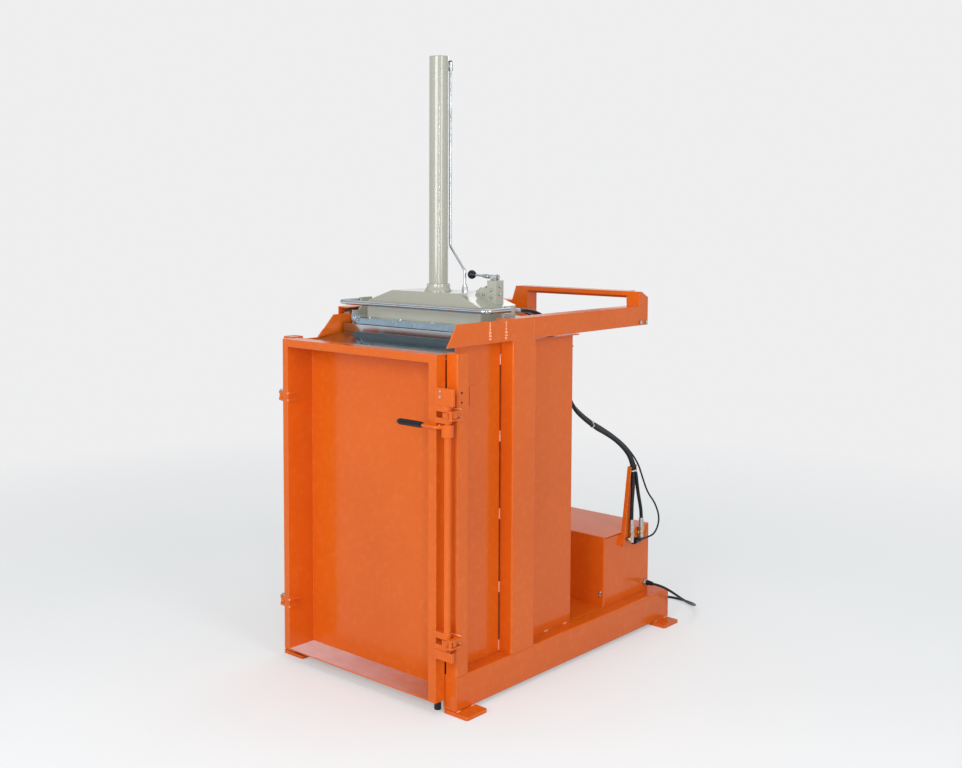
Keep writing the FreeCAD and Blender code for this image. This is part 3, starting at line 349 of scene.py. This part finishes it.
def plated(name, bright, dull, tint, low, high, scratches=300):
    """Zinc or chrome plate: a polished skin with hair scratches and handling haze."""
    f = Finish(name, metallic=1.0)
    f.edges(0.0008)
    haze = f.noise(24, 5, 0.65)
    hair = f.noise(1.0, 4, 0.7, f.stretched((scratches, scratches, 12)))
    tone = f.mix(f.band(haze, 0.35, 0.72), bright, dull)
    tone = f.mix(f.times(f.band(f.noise(70, 3), 0.5, 0.7), 0.35), tone, tint)
    rough = f.plus(f.band(haze, 0.3, 0.75, low, high), f.band(hair, 0.45, 0.75, 0, 0.05))
    f.bump(hair, 0.0002, 0.12)
    return f.done(tone, rough)


def cast():
    """Grey hammer-like enamel on castings."""
    f = Finish("cast_grey", coat=0.1)
    f.edges(0.002)
    sand = f.noise(190, 4, 0.65)
    tone = f.mix(f.band(f.noise(14, 4), 0.35, 0.7), (0.050, 0.062, 0.075, 1),
                 (0.085, 0.098, 0.112, 1))
    f.bump(sand, 0.0007, 0.4)
    return f.done(tone, f.band(sand, 0.3, 0.7, 0.42, 0.6))


def rubber():
    """Extruded black cover with a fabric imprint and dusty patches."""
    f = Finish("black_rubber", specular=0.28)
    wrap = f.add("ShaderNodeTexWave", wave_type="BANDS", bands_direction="DIAGONAL")
    wrap.inputs["Scale"].default_value = 260
    wrap.inputs["Distortion"].default_value = 1.2
    wrap.inputs["Detail"].default_value = 2
    f.join(f.where, wrap.inputs["Vector"])
    dust = f.noise(30, 5, 0.7)
    tone = f.mix(f.band(dust, 0.45, 0.75), (0.004, 0.009, 0.012, 1), (0.013, 0.022, 0.028, 1))
    f.bump(wrap.outputs["Fac"], 0.0003, 0.35)
    f.bump(f.noise(500, 2), 0.0002, 0.2)
    return f.done(tone, f.band(dust, 0.3, 0.75, 0.26, 0.45))


def plastic():
    """Moulded blue-black plastic, polished by hands."""
    f = Finish("black_plastic", coat=0.15, coat_roughness=0.04, specular=0.25)
    f.edges(0.001)
    skin = f.noise(240, 3, 0.6)
    touch = f.noise(34, 4, 0.6)
    tone = f.mix(f.band(touch, 0.35, 0.7), (0.003, 0.006, 0.012, 1), (0.007, 0.012, 0.022, 1))
    f.bump(skin, 0.0003, 0.12)
    return f.done(tone, f.band(touch, 0.3, 0.7, 0.10, 0.22))


def nylon():
    """A white cable tie."""
    f = Finish("tie_nylon")
    f.shader.inputs["Subsurface Weight"].default_value = 0.1
    age = f.noise(60)
    tone = f.mix(f.band(age, 0.35, 0.7), (0.74, 0.75, 0.73, 1), (0.62, 0.62, 0.57, 1))
    f.bump(f.noise(300, 2), 0.0002, 0.2)
    return f.done(tone, f.band(age, 0.3, 0.7, 0.35, 0.5))


def sill_sheen_and_rub():
    """Painted sheen of light on the sill, palest and bluish-white at the hinge end, with long rub
    streaks from sliding bales.
    """
    hinge_end, lock_end = -0.40, 0.27
    f = Finish("sheen_and_rubbed_paint", coat=0.4, coat_roughness=0.12)
    along = f.add("ShaderNodeSeparateXYZ")
    f.join(f.where, along.inputs[0])
    cloud = f.noise(9, 4, 0.6)
    streak = f.noise(1.0, 5, 0.65, f.stretched((7, 260, 7)))
    part = f.plus(f.band(along.outputs["X"], hinge_end, lock_end),
                  f.band(cloud, 0.3, 0.7, -0.12, 0.12))
    # painted sheen: the pale bluish-white and lavender tones at the hinge end stand in for light on
    # the upward face
    tone = f.mix(f.band(part, 0.0, 0.45), (0.84, 0.93, 1.0, 1), (0.68, 0.52, 0.55, 1))
    tone = f.mix(f.band(part, 0.45, 1.0), tone, (0.60, 0.24, 0.14, 1))
    tone = f.mix(f.times(f.band(streak, 0.42, 0.66), 0.32), tone, (0.62, 0.32, 0.26, 1))
    f.bump(streak, 0.0002, 0.15)
    return f.done(tone, f.band(streak, 0.3, 0.7, 0.16, 0.30))


def shadow():
    """Painted shade: the near-black brown of a gap in shadow between sheets."""
    f = Finish("joint_painted_shade", roughness=0.8, specular=0.1)
    return f.done(f.mix(f.noise(90, 4), (0.035, 0.012, 0.006, 1), (0.10, 0.030, 0.010, 1)))


FINISH = {
    "orange_paint": powder_coat("orange_paint", (219, 97, 20), (229, 106, 24), (252, 156, 90),
                                0.17, 0.16, 0.30, 0.04),
    "cream_paint": powder_coat("cream_paint", (170, 171, 158), (179, 180, 167), (197, 198, 188),
                               0.14, 0.08, 0.5, 0.6),
    "galvanised": galvanised("galvanised", (0.27, 0.37, 0.45, 1), (0.33, 0.44, 0.52, 1),
                             (0.22, 0.31, 0.38, 1), 0.035),
    "zinc_steel": plated("zinc_steel", (0.58, 0.62, 0.65, 1), (0.42, 0.45, 0.48, 1),
                         (0.62, 0.60, 0.48, 1), 0.24, 0.42),
    "yellow_zinc": plated("yellow_zinc", (0.62, 0.52, 0.30, 1), (0.44, 0.36, 0.20, 1),
                          (0.60, 0.56, 0.44, 1), 0.16, 0.32),
    "chrome": plated("chrome", (0.58, 0.63, 0.67, 1), (0.46, 0.51, 0.55, 1),
                     (0.52, 0.56, 0.60, 1), 0.03, 0.08, 200),
    "cast_grey": cast(),
    "black_rubber": rubber(),
    "black_plastic": plastic(),
}
# painted highlight: pale orange to near-white tones on the weld beads stand in for their glints
BEAD_HIGHLIGHT = powder_coat("bead_painted_highlight", (242, 142, 82), (252, 186, 144), (255, 236, 222),
                   0.16, 0.1, 0.6, 0.3)
TIE, GAP_SHADE, SHEEN_AND_WEAR = nylon(), shadow(), sill_sheen_and_rub()
PLATE = galvanised("plate_sheet", (0.46, 0.55, 0.60, 1), (0.50, 0.59, 0.64, 1),
                   (0.42, 0.51, 0.56, 1), 0.11)

slots = {s["node"]: s["material_slot"] for s in frame["record"]["subparts"]}
for node, piece in frame["nodes"].items():
    piece.data.materials.clear()
    piece.data.materials.append(PLATE if node == "press_plate" else FINISH[slots[node]])

# ---- cords, in metres of the row frame -----------------------------------------
HOSE_D, CONTROL_D, MAINS_D = 0.014, 0.007, 0.010
HOSES = (
    [(0.206, -0.117, 1.3160), (0.206, -0.020, 1.3160), (0.226, 0.077, 1.2420),
     (0.249, 0.112, 1.1104), (0.269, 0.112, 0.9461), (0.286, 0.245, 0.8490),
     (0.295, 0.346, 0.8016), (0.308, 0.404, 0.7618), (0.322, 0.452, 0.7120),
     (0.331, 0.469, 0.6500), (0.332, 0.466, 0.5600), (0.331, 0.463, 0.5000),
     (0.331, 0.463, 0.4500)],
    [(0.182, -0.117, 1.3160), (0.182, -0.014, 1.3160), (0.206, 0.085, 1.2480),
     (0.230, 0.130, 1.1204), (0.250, 0.128, 0.9560), (0.270, 0.252, 0.8614),
     (0.279, 0.352, 0.8116), (0.293, 0.413, 0.7693), (0.316, 0.464, 0.7180),
     (0.332, 0.485, 0.6520), (0.332, 0.502, 0.5600), (0.331, 0.533, 0.4750),
     (0.331, 0.533, 0.4450)])
CONTROL = [
    (0.149, -0.148, 1.3160), (0.149, -0.060, 1.3160), (0.166, 0.028, 1.2840),
    (0.190, 0.085, 1.2299), (0.210, 0.130, 1.1303), (0.224, 0.144, 1.0407),
    (0.234, 0.152, 0.9610), (0.255, 0.245, 0.8788), (0.264, 0.345, 0.8290),
    (0.278, 0.410, 0.7892), (0.298, 0.470, 0.7400), (0.330, 0.504, 0.6760),
    (0.346, 0.518, 0.6080), (0.348, 0.552, 0.5460), (0.347, 0.612, 0.4940),
    (0.346, 0.652, 0.4200), (0.340, 0.626, 0.3620), (0.329, 0.580, 0.3530),
    (0.329, 0.532, 0.3530)]
MAINS = [
    (0.358, 0.584, 0.1650), (0.396, 0.584, 0.1650), (0.426, 0.618, 0.1390),
    (0.442, 0.680, 0.0950), (0.438, 0.774, 0.0470), (0.388, 0.884, 0.0132),
    (0.268, 0.929, 0.0052), (0.204, 0.904, 0.0052)]
COIL_X, COIL_Y, COIL_Z = 0.094, 0.830, 0.0052
COIL_TURNS, COIL_PITCH, COIL_MEAN_R = 3, 0.0108, 0.055      # turns in each of two layers
COIL_END, COIL_STEPS = 6.5, 16                              # turns in all, points in a turn
LEAD_TAIL = 0.030                                           # straight end at the plug


def coil_point(turns):
    """The lead's centre after a number of turns: in along the floor, out on top."""
    inner = COIL_MEAN_R - COIL_PITCH * COIL_TURNS / 2
    past = turns - COIL_TURNS
    if past <= 0:
        r, z = inner - COIL_PITCH * past, 0.0
    elif past <= 0.5:
        f = past / 0.5
        r, z = inner - COIL_PITCH * min(past, 0.5 - past), COIL_PITCH * f * f * (3 - 2 * f)
    else:
        r, z = inner + COIL_PITCH * (past - 0.5), COIL_PITCH
    a = math.pi / 2 + 2 * math.pi * turns
    return Vector((COIL_X + r * math.cos(a), COIL_Y + r * math.sin(a), COIL_Z + z))


def bends(piece):
    """Bakes a piece's placement into its mesh."""
    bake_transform(piece)


def follow(name, points, diameter, node, sides):
    """A held lead or hose: a fine tube along its spline."""
    line = centreline(points)
    piece = tube_mesh(name, line, diameter / 2, sides)
    piece.data.materials.append(FINISH["black_rubber"])
    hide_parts(node)
    bends(piece)


def mains_lead():
    """The lead from the pack's gland, along the floor and into its coil."""
    wound = [coil_point(i / COIL_STEPS) for i in range(int(COIL_STEPS * COIL_END) + 1)]
    tail = wound[-1] + (wound[-1] - wound[-2]).normalized() * LEAD_TAIL
    lead = bpy.data.objects.new("mains_lead", spline("mains_lead", MAINS + wound + [tail], 8))
    lead.data.bevel_depth = MAINS_D / 2
    lead.data.bevel_resolution = 4
    lead.data.use_fill_caps = True
    scene.collection.objects.link(lead)
    lead.data.materials.append(FINISH["black_rubber"])
    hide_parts("mains_cable", "mains_coil")
    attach(lead, "frame")


for i in (0, 1):
    follow("hose_%d" % i, HOSES[i], HOSE_D, "hydraulic_hoses", 20)
follow("control_lead", CONTROL, CONTROL_D, "control_cable", 14)
mains_lead()


# ---- kinds of small parts, in millimetres ----------------------------------
BEAD_STEP = 0.0009                  # metres between the rings of a weld bead
GAP_STEP = 0.006                    # metres between the rings of a dark joint
HEX_PHASE, NUT_PHASE = 0.3, 0.2     # radians a hexagon head or nut is turned by
WASHER_RISE = 0.0015                # metres a head stands off on its washer
BAND_PITCH = 6.4                    # between a ferrule's rolled bands


def plain_ripple(k, n):
    """Even ripples that taper at both ends of the bead."""
    end = min(k, n - 1 - k, 4) / 4
    return (0.25 + 0.75 * end ** 0.5) * (0.52 + 0.52 * abs(math.sin(k * 0.36)) +
                                         0.08 * math.sin(k * 0.83))


def dotted_ripple(k, n):
    """Separate drops of uneven size, as where a bead breaks up."""
    end = min(k, n - 1 - k, 4) / 4
    drops = 0.12 + 0.98 * abs(math.sin(k * 0.25 + 0.4))
    return end * drops * (0.72 + 0.28 * math.sin(k * 0.09))


def weld(name, points, radius, body, bead=True, ripple=plain_ripple):
    """A weld bead: overlapping ripples along a line, half sunk in its corner; unless bead is false,
    its pale finish is a painted highlight.
    """
    line = []
    for a, b in zip(points, points[1:]):
        a, b = M(*a), M(*b)
        steps = max(int((b - a).length / BEAD_STEP), 2)
        line += [a.lerp(b, k / steps) for k in range(steps)]
    line.append(M(*points[-1]))
    piece = tube_mesh(name, line, radius / 1000, 10, ripple)
    dress(piece, BEAD_HIGHLIGHT if bead else FINISH["orange_paint"], body)


def shade_line(name, start, end, radius):
    """A painted shadow: the dark, uneven line where two sheets of the frame meet."""
    a, b = M(*start), M(*end)
    steps = int((b - a).length / GAP_STEP)
    piece = tube_mesh(name, [a.lerp(b, k / steps) for k in range(steps + 1)], radius / 1000, 8,
                      lambda k, n: 0.85 + 0.15 * math.sin(k * 0.7) * math.sin(k * 0.23))
    dress(piece, GAP_SHADE, "frame")


def hex_bolt(name, at, direction, size, body, finish="zinc_steel", washer=True):
    """A washer and a chamfered hexagon head, size across the corners."""
    r, h = size / 2, size * 0.36
    base = M(*at)
    out = Vector(direction).normalized()
    if washer:
        lathe(name + "_washer", [(r * 0.5, 0), (r * 1.28, 0), (r * 1.34, 0.3), (r * 1.34, 1.2),
                                 (r * 1.26, 1.6), (r * 0.5, 1.6)], base, out, body, finish, 28)
        base = base + out * WASHER_RISE
    lathe(name, [(r, 0), (r, h * 0.78), (r * 0.97, h * 0.84), (r * 0.82, h), (r * 0.2, h),
                 (r * 0.16, h * 0.94)], base, out, body, finish, 6, HEX_PHASE, False)


def nut(name, at, direction, radius, height, finish="yellow_zinc"):
    """A chamfered hexagon nut on the frame."""
    lathe(name, [(radius - 3, 0), (radius - 0.8, 0), (radius, 0.9), (radius, height - 0.9),
                 (radius - 0.8, height), (radius - 3, height)],
          M(*at), direction, "frame", finish, 6, NUT_PHASE, False)


def banded(name, at, direction, count, radius, body):
    """A crimped sleeve: rolled bands along a ferrule."""
    profile = [(radius - 1, 0)]
    for k in range(count):
        h = k * BAND_PITCH
        profile += [(radius - 0.2, h + 0.2), (radius + 1.1, h + 1.2), (radius + 1.1, h + 3.8),
                    (radius - 0.2, h + 4.8)]
    profile.append((radius - 1, count * BAND_PITCH))
    lathe(name, profile, M(*at), direction, body, "zinc_steel")


# ---- cable ties, in metres --------------------------------------------------------
TIE_R, TIE_WIDTH = 0.0078, 0.0048
STRAP = ((0, -1), (0.0009, -0.85), (0.0013, 0), (0.0009, 0.85), (0, 1))
HEAD_SIDE, HEAD_LOW, HEAD_HIGH, HEAD_OFF = 0.0035, -0.002, 0.003, 0.002
BOX_FACES = ((0, 1, 3, 2), (4, 6, 7, 5), (0, 4, 5, 1), (2, 3, 7, 6), (0, 2, 6, 4), (1, 5, 7, 3))


def tie(name, first, second, along):
    """A cable tie pulled round two hoses, with its ratchet head."""
    w = along.normalized()
    u = second - first
    u = (u - w * u.dot(w)).normalized()
    v = w.cross(u)
    loop = []
    for centre, start in ((second, -90), (first, 90)):
        for k in range(13):
            a = math.radians(start + 15 * k)
            loop.append((centre, u * math.cos(a) + v * math.sin(a)))
    verts, faces = [], []
    for centre, n in loop:
        for thick, h in STRAP:
            verts.append(centre + n * (TIE_R + thick) + w * (h * TIE_WIDTH / 2))
    rows = len(STRAP)
    for k in range(len(loop)):
        for i in range(rows - 1):
            a, b = k * rows + i, ((k + 1) % len(loop)) * rows + i
            faces.append((a, b, b + 1, a + 1))
    head = (first + second) / 2 + v * (TIE_R + HEAD_OFF)
    base = len(verts)
    for dx in (-HEAD_SIDE, HEAD_SIDE):
        for dy in (HEAD_LOW, HEAD_HIGH):
            for dz in (-HEAD_SIDE, HEAD_SIDE):
                verts.append(head + u * dx + v * dy + w * dz)
    faces += [tuple(base + i for i in f) for f in BOX_FACES]
    piece = place(name, verts, faces, False)
    piece.data.materials.append(TIE)
    bends(piece)


def nearest(line, target, axis):
    """The point of a line nearest to a height or depth, and the line's direction there."""
    k = min(range(1, len(line) - 1), key=lambda i: abs(line[i][axis] - target))
    return line[k], line[k + 1] - line[k - 1]


def hose_ties():
    """One tie at the top of the bracket and one on the free span, by height and depth."""
    depth, height = 1, 2        # axes
    lines = [centreline(p) for p in HOSES]
    for name, target, axis in (("tie_bracket", 0.648, height), ("tie_span", 0.249, depth)):
        (a, along), (b, _) = [nearest(line, target, axis) for line in lines]
        b = b - along.normalized() * (b - a).dot(along.normalized())
        tie(name, a, b, along)


# ---- welds and joints ---------------------------------------------------------------
def wall_welds():
    """The right wall's joint with the middle post as a painted shadow line, its stitch welds, and
    its foot.
    """
    x, y = WALL_FACE + 0.2, MID_FRONT - 1.4
    shade_line("wall_joint_shade", (x, y, 145), (x, y, 1190), 1.6)
    corner, front, half = WALL_FACE + 1, MID_FRONT - 1, 20
    for i, z in enumerate((1168, 898, 623, 362, 152)):
        weld("stitch_%d" % i, [(corner, front, z - half), (corner, front, z + half)], 3.2,
             "frame")
    foot, half = DECK + 1, 12
    for i, y in enumerate((573, 690)):
        weld("wall_foot_%d" % i, [(corner, y - half, foot), (corner, y + half, foot)], 3.0,
             "frame")


def lid_joint_shade():
    """A painted shadow line at the joint between the power pack's lid and its side."""
    z = 401.2
    shade_line("lid_joint_shade", (WALL_FACE, PACK_FRONT + 3, z), (WALL_FACE, 1140, z), 1.3)


def guard_welds():
    """Two broken-up beads on the guard plate of the right top rail, pale with painted highlights.
    """
    x = SIDE + 0.5
    for i, (y, low, high) in enumerate(((166, 1245, 1308), (252, 1242, 1306))):
        weld("guard_weld_%d" % i, [(x, y, low), (x, y, high)], 6.6, "frame",
             ripple=dotted_ripple)


def frame_seams():
    """Thin painted seams at the posts and the rear cross member, on both sides."""
    foot, front, rear = DECK + 1, MID_FRONT - 1, 412
    seams = (("post_foot", (18, foot), (52, foot)),
             ("mid_foot", (300, foot), (410, foot)),
             ("cross", (RAIL_END, 24), (RAIL_END, 120)),
             ("head_front", (front, TOP_RAIL_Z), (front, TOP_RAIL_TOP)),
             ("head_rear", (rear, TOP_RAIL_Z), (rear, TOP_RAIL_TOP + 3)))
    for side, tag in ((1, "_right"), (-1, "_left")):
        x = side * (SIDE - 0.8)
        for name, start, end in seams:
            weld(name + tag, [(x, *start), (x, *end)], 1.6, "frame", bead=False)


def lock_welds():
    """Beads at the keepers on the post, at the bearings on the door and on the lever arm."""
    left, right, edge = 404, 452, DOOR_EDGE + 1
    for i, z in enumerate(CAM_HEIGHTS):
        for j, dz in enumerate((-13, 13)):
            tag, up = "_%d%d" % (i, j), z + dz + 3.2
            weld("keeper_weld" + tag, [(left, POST_BEAD_Y, up), (right, POST_BEAD_Y, up)], 2.2,
                 "frame")
            up = z + dz * 1.4
            weld("bearing_weld" + tag, [(edge, -54, up), (edge, -28, up)], 2.2, "door")
    weld("bar_weld", [(404, -52, 985), (404, -60, 983), (399, -66, 978)], 2.4, "lock_bar")


def hinge_welds():
    """Beads at the hinges' lugs on the post and their leaves on the door."""
    left, right = -410, -385
    leaf_x, leaf_y, leaf_height = -350, -50.5, 9
    for i, z in enumerate(HINGE_HEIGHTS):
        top = z + 8.6
        weld("lug_weld_%d" % i, [(left, POST_BEAD_Y, top), (right, POST_BEAD_Y, top)], 2.2,
             "frame")
        for j, dz in enumerate((8.5, -17.5)):
            weld("leaf_weld_%d%d" % (i, j), [(leaf_x, leaf_y, z + dz),
                                            (leaf_x, leaf_y, z + dz + leaf_height)], 2.4, "door")


def foot_welds():
    """Beads between the right base rail's side and its two foot plates."""
    z = FOOT_TOP + 0.6
    for i, y in enumerate((8, 82, 1238, 1312)):
        weld("foot_weld_%d" % i, [(SIDE, y - 6, z), (SIDE, y + 14, z)], 2.4, "frame")


# ---- painted sheen and worn paint ---------------------------------------------------
def sill_sheen_and_wear():
    """The inside of the door's lower fold: a film with a painted sheen, rub marks and a faint
    unevenness.
    """
    left, width, columns = -352.5, 698.0, 60
    front, depth, rows = -46.4, 120.4, 8
    height, wave = 46.10, 0.05
    verts, faces = [], []
    for j in range(rows + 1):
        for i in range(columns + 1):
            verts.append(M(left + width * i / columns, front + depth * j / rows,
                           height + wave * math.sin(i * 0.9) * math.sin(j * 1.7)))
    for j in range(rows):
        for i in range(columns):
            k = j * (columns + 1) + i
            faces.append((k, k + 1, k + columns + 2, k + columns + 1))
    # a pale film over the fold that paints its sheen of light, with rub marks
    dress(place("sill_sheen_and_wear", verts, faces), SHEEN_AND_WEAR, "door")


# ---- bolts and fittings -----------------------------------------------------------------
def bolts():
    """Screws of the lock's cover, the pack, the hood's ear, the front beam and the deck,
    and the plug on the pressure pipe's upper fitting."""
    for i, z in enumerate((1096, 1077)):
        hex_bolt("cover_screw_%d" % i, (407, -57, z), FORWARD, 8.5, "door", washer=False)
    for i, z in enumerate((184, 171)):
        hex_bolt("pack_screw_%d" % i, (356, PACK_FRONT, z), FORWARD, 9, "frame")
    for i, (y, z) in enumerate(((350, 1338), (361, 1328))):
        hex_bolt("ear_bolt_%d" % i, (364, y, z), SIDEWAYS, 9, "press_unit", washer=False)
    for side, tag in ((-1, "left"), (1, "right")):
        hex_bolt("beam_bolt_" + tag, (side * 290, 236, 1276), FORWARD, 15, "press_unit")
        hex_bolt("beam_bolt_low_" + tag, (side * 268, 240, 1281), FORWARD, 8, "press_unit")
    for i, x in enumerate((-240, -80, 80, 240)):
        hex_bolt("deck_bolt_%d" % i, (x, 268, 1277), UP, 11, "press_unit")
    hex_bolt("tube_plug", (20, 433, 2230), UP, 15, "press_unit", "black_plastic", False)


def valve_parts():
    """The valve's plugs, and the lever's pivot bolt, nut, bosses and clamp."""
    plugs = ((248, 398, 1398, FORWARD), (248, 398, 1372, FORWARD), (209, 402, 1381, FORWARD),
             (208, 418, 1405, UP), (268, 420, 1412, SIDEWAYS), (268, 420, 1384, SIDEWAYS),
             (179, 420, 1395, UP))
    for i, (x, y, z, out) in enumerate(plugs):
        hex_bolt("valve_plug_%d" % i, (x, y, z), out, 14, "press_unit", washer=False)
    head_off, boss_off = 12.5, 14.5
    hex_bolt("pivot_head", (PIVOT_X, PIVOT_Y - head_off, PIVOT_Z), FORWARD, 15, "press_unit")
    hex_bolt("pivot_nut", (PIVOT_X, PIVOT_Y + head_off, PIVOT_Z), BACKWARD, 15, "press_unit")
    lathe("arm_clamp", [(4, 0), (7.4, 0.4), (8.2, 2), (8.2, 15), (7.2, 17), (5.4, 18), (5.4, 23),
                        (6.6, 23.6), (6.6, 29), (4, 30)],
          M(PIVOT_X - 26, PIVOT_Y, PIVOT_Z + 1.6), (-100, 0, 6), "valve_lever", "zinc_steel")
    for i, y in enumerate((PIVOT_Y - boss_off, PIVOT_Y + boss_off)):
        lathe("ear_boss_%d" % i, [(6, -3), (9.6, -2.6), (10.4, -1.6), (10.4, 1.6), (9.6, 2.6),
                                  (6, 3)], M(PIVOT_X, y, PIVOT_Z), BACKWARD, "press_unit",
              "zinc_steel")


def hose_ends():
    """Crimp rings, union nuts and elbows at the pack, and the ferrules at the hood."""
    # depth and height of each elbow, top of its ferrule, and where its nut begins
    ports = ((1123, 372, 450, 377.2), (1193, 382, 445, 374.4))
    for i, (y, z, top, face) in enumerate(ports):
        tag = "_%d" % i
        count = int((top - z - 34) / BAND_PITCH)
        banded("crimp" + tag, (PORT_X, y, z + 32), UP, count, 9, "frame")
        nut("union" + tag, (PORT_X, y, z + 12), UP, 13.2, 15)
        nut("union_low" + tag, (PORT_X, y, z - 4), UP, 11.2, 9)
        nut("elbow_nut" + tag, (face, y, z), SIDEWAYS, 12.4, 7)
        nut("knee_cap" + tag, (PORT_X, y, z - 15), UP, 10.6, 8, "zinc_steel")
    nut("branch", (PORT_X, 1114, 372), FORWARD, 10, 12)
    nut("branch_cap", (PORT_X, 1102, 372), FORWARD, 7.8, 6, "zinc_steel")
    for i, x in enumerate((262, 238)):
        banded("hood_crimp_%d" % i, (x, 512, 1316), BACKWARD, 4, 9.3, "press_unit")


def gland():
    """The mains gland's lock nut and its ribbed, tapering strain relief."""
    nut("gland_nut", (WALL_FACE + 0.2, GLAND_Y, GLAND_Z), SIDEWAYS, 14.5, 8, "zinc_steel")
    pitch = 4.4
    relief = [(7, 0), (11, 0)]
    for k in range(6):
        r, h = 10.6 - 0.5 * k, pitch * k
        relief += [(r, h + 0.6), (r, h + 2.6), (r - 1.3, h + 3.0), (r - 1.5, h + pitch)]
    relief.append((5.2, 27))
    lathe("gland_relief", relief, M(WALL_FACE + 14.2, GLAND_Y, GLAND_Z), SIDEWAYS, "frame",
          "black_plastic")


def grip_rings():
    """Rings on the lock's hand grip."""
    pitch = 9
    for k in range(9):
        lathe("grip_ring_%d" % k, [(10.2, 0), (10.9, 0.5), (10.9, 1.3), (10.2, 1.8)],
              M(GRIP_END - pitch * k, GRIP_Y, GRIP_Z), (-1, 0, 0), "lock_bar", "black_plastic")


def plug_ribs():
    """Ribs on the mains plug, which lies a little askew."""
    pitch, drift = 8.5, 0.2
    for k in range(6):
        lathe("plug_rib_%d" % k, [(15.4, 0), (16.1, 0.6), (16.1, 2.4), (15.4, 3.0)],
              M(PLUG_END + pitch * k, PLUG_Y - drift * k, PLUG_Z), (1, -0.0245, 0), "frame",
              "black_plastic", 28)


hose_ties()
wall_welds()
lid_joint_shade()
guard_welds()
frame_seams()
lock_welds()
hinge_welds()
foot_welds()
sill_sheen_and_wear()
bolts()
valve_parts()
hose_ends()
gland()
grip_rings()
plug_ribs()

# ---- floor and light, in metres ---------------------------------------------------
FLOOR_HALF, FLOOR_Z = 14, -0.0004
FLOOR_FADE = (1.7, 4.6)          # distances between which the floor gives way to the backdrop
FLOOR_GLOW = 0.33                # lifts the floor that the camera sees to the backdrop's level
SKY = 0.46                       # light from all round on matt surfaces
# the backdrop that the camera and reflections see: sine of the elevation, and level
BACKDROP = ((0.0, 0.86), (0.24, 0.86), (0.31, 0.18), (0.44, 0.22), (0.62, 0.80), (0.80, 0.80),
            (1.0, 0.30))
# name, place, aim, size and watts
LAMPS = (("key", (0.9, -4.6, 2.4), (0, -0.2, 1.1), (2.4, 2.4), 100),
         ("side", (4.6, -1.4, 2.6), (0, 0, 1.0), (1.4, 2.8), 58),
         ("strip", (3.45, -3.55, 1.55), (0, -0.2, 1.3), (0.24, 1.9), 27),
         ("over", (0.0, 0.3, 4.6), (0, 0, 0.6), (3.2, 3.2), 22),
         ("rear", (-1.4, 4.4, 3.4), (0, 0.4, 0.8), (2.0, 2.0), 26))


def studio_floor():
    """A pale floor that fades into the backdrop."""
    e = FLOOR_HALF
    floor = place("floor", [(-e, -e, FLOOR_Z), (e, -e, FLOOR_Z), (e, e, FLOOR_Z),
                            (-e, e, FLOOR_Z)], [(0, 1, 2, 3)], False)
    f = Finish("studio_floor", roughness=0.9, specular=0.2)
    span = f.add("ShaderNodeVectorMath", operation="LENGTH")
    f.join(f.where, span.inputs[0])
    f.join(f.band(span.outputs["Value"], *FLOOR_FADE, 1.0, 0.0), f.shader.inputs["Alpha"])
    ray = f.add("ShaderNodeLightPath").outputs
    shown = f.larger(ray["Is Camera Ray"],
                     f.larger(ray["Is Glossy Ray"], ray["Is Transmission Ray"]))
    f.join(f.times(shown, FLOOR_GLOW), f.shader.inputs["Emission Strength"])
    f.shader.inputs["Emission Color"].default_value = (0.93, 0.99, 1.0, 1)
    floor.data.materials.append(f.done(
        f.mix(f.noise(0.7), (0.60, 0.61, 0.62, 1), (0.64, 0.65, 0.66, 1))))


def studio_world():
    """Even white light on matt surfaces, and a banded backdrop for what is seen directly."""
    world = bpy.data.worlds.new("studio")
    scene.world = world
    world.use_nodes = True
    nodes, join = world.node_tree.nodes, world.node_tree.links.new
    sky = nodes["Background"]
    sky.inputs["Color"].default_value = (1, 1, 1, 1)
    sky.inputs["Strength"].default_value = SKY
    height = nodes.new("ShaderNodeSeparateXYZ")
    join(nodes.new("ShaderNodeTexCoord").outputs["Generated"], height.inputs[0])
    ramp = nodes.new("ShaderNodeValToRGB")
    stops = ramp.color_ramp.elements
    while len(stops) < len(BACKDROP):
        stops.new(0.5)
    for stop, (at, level) in zip(stops, BACKDROP):
        stop.position = at
        stop.color = (level, level, level * 1.01, 1)
    join(height.outputs["Z"], ramp.inputs[0])
    seen = nodes.new("ShaderNodeBackground")
    join(ramp.outputs[0], seen.inputs["Color"])
    ray = nodes.new("ShaderNodeLightPath").outputs
    mirrored, direct = [nodes.new("ShaderNodeMath") for _ in range(2)]
    for node in (mirrored, direct):
        node.operation = "MAXIMUM"
    join(ray["Is Glossy Ray"], mirrored.inputs[0])
    join(ray["Is Transmission Ray"], mirrored.inputs[1])
    join(ray["Is Camera Ray"], direct.inputs[0])
    join(mirrored.outputs[0], direct.inputs[1])
    blend = nodes.new("ShaderNodeMixShader")
    join(direct.outputs[0], blend.inputs[0])
    join(sky.outputs[0], blend.inputs[1])
    join(seen.outputs[0], blend.inputs[2])
    join(blend.outputs[0], nodes["World Output"].inputs[0])


def lamp(name, at, towards, size, power):
    """A rectangular lamp that faces a point."""
    light = bpy.data.lights.new(name, "AREA")
    light.shape = "RECTANGLE"
    light.size, light.size_y = size
    light.energy = power
    holder = bpy.data.objects.new(name, light)
    holder.location = at
    aim = Vector(towards) - Vector(at)
    holder.rotation_euler = aim.to_track_quat("-Z", "Y").to_euler()
    scene.collection.objects.link(holder)


studio_floor()
studio_world()
for row in LAMPS:
    lamp(*row)

scene.view_settings.view_transform = "Standard"
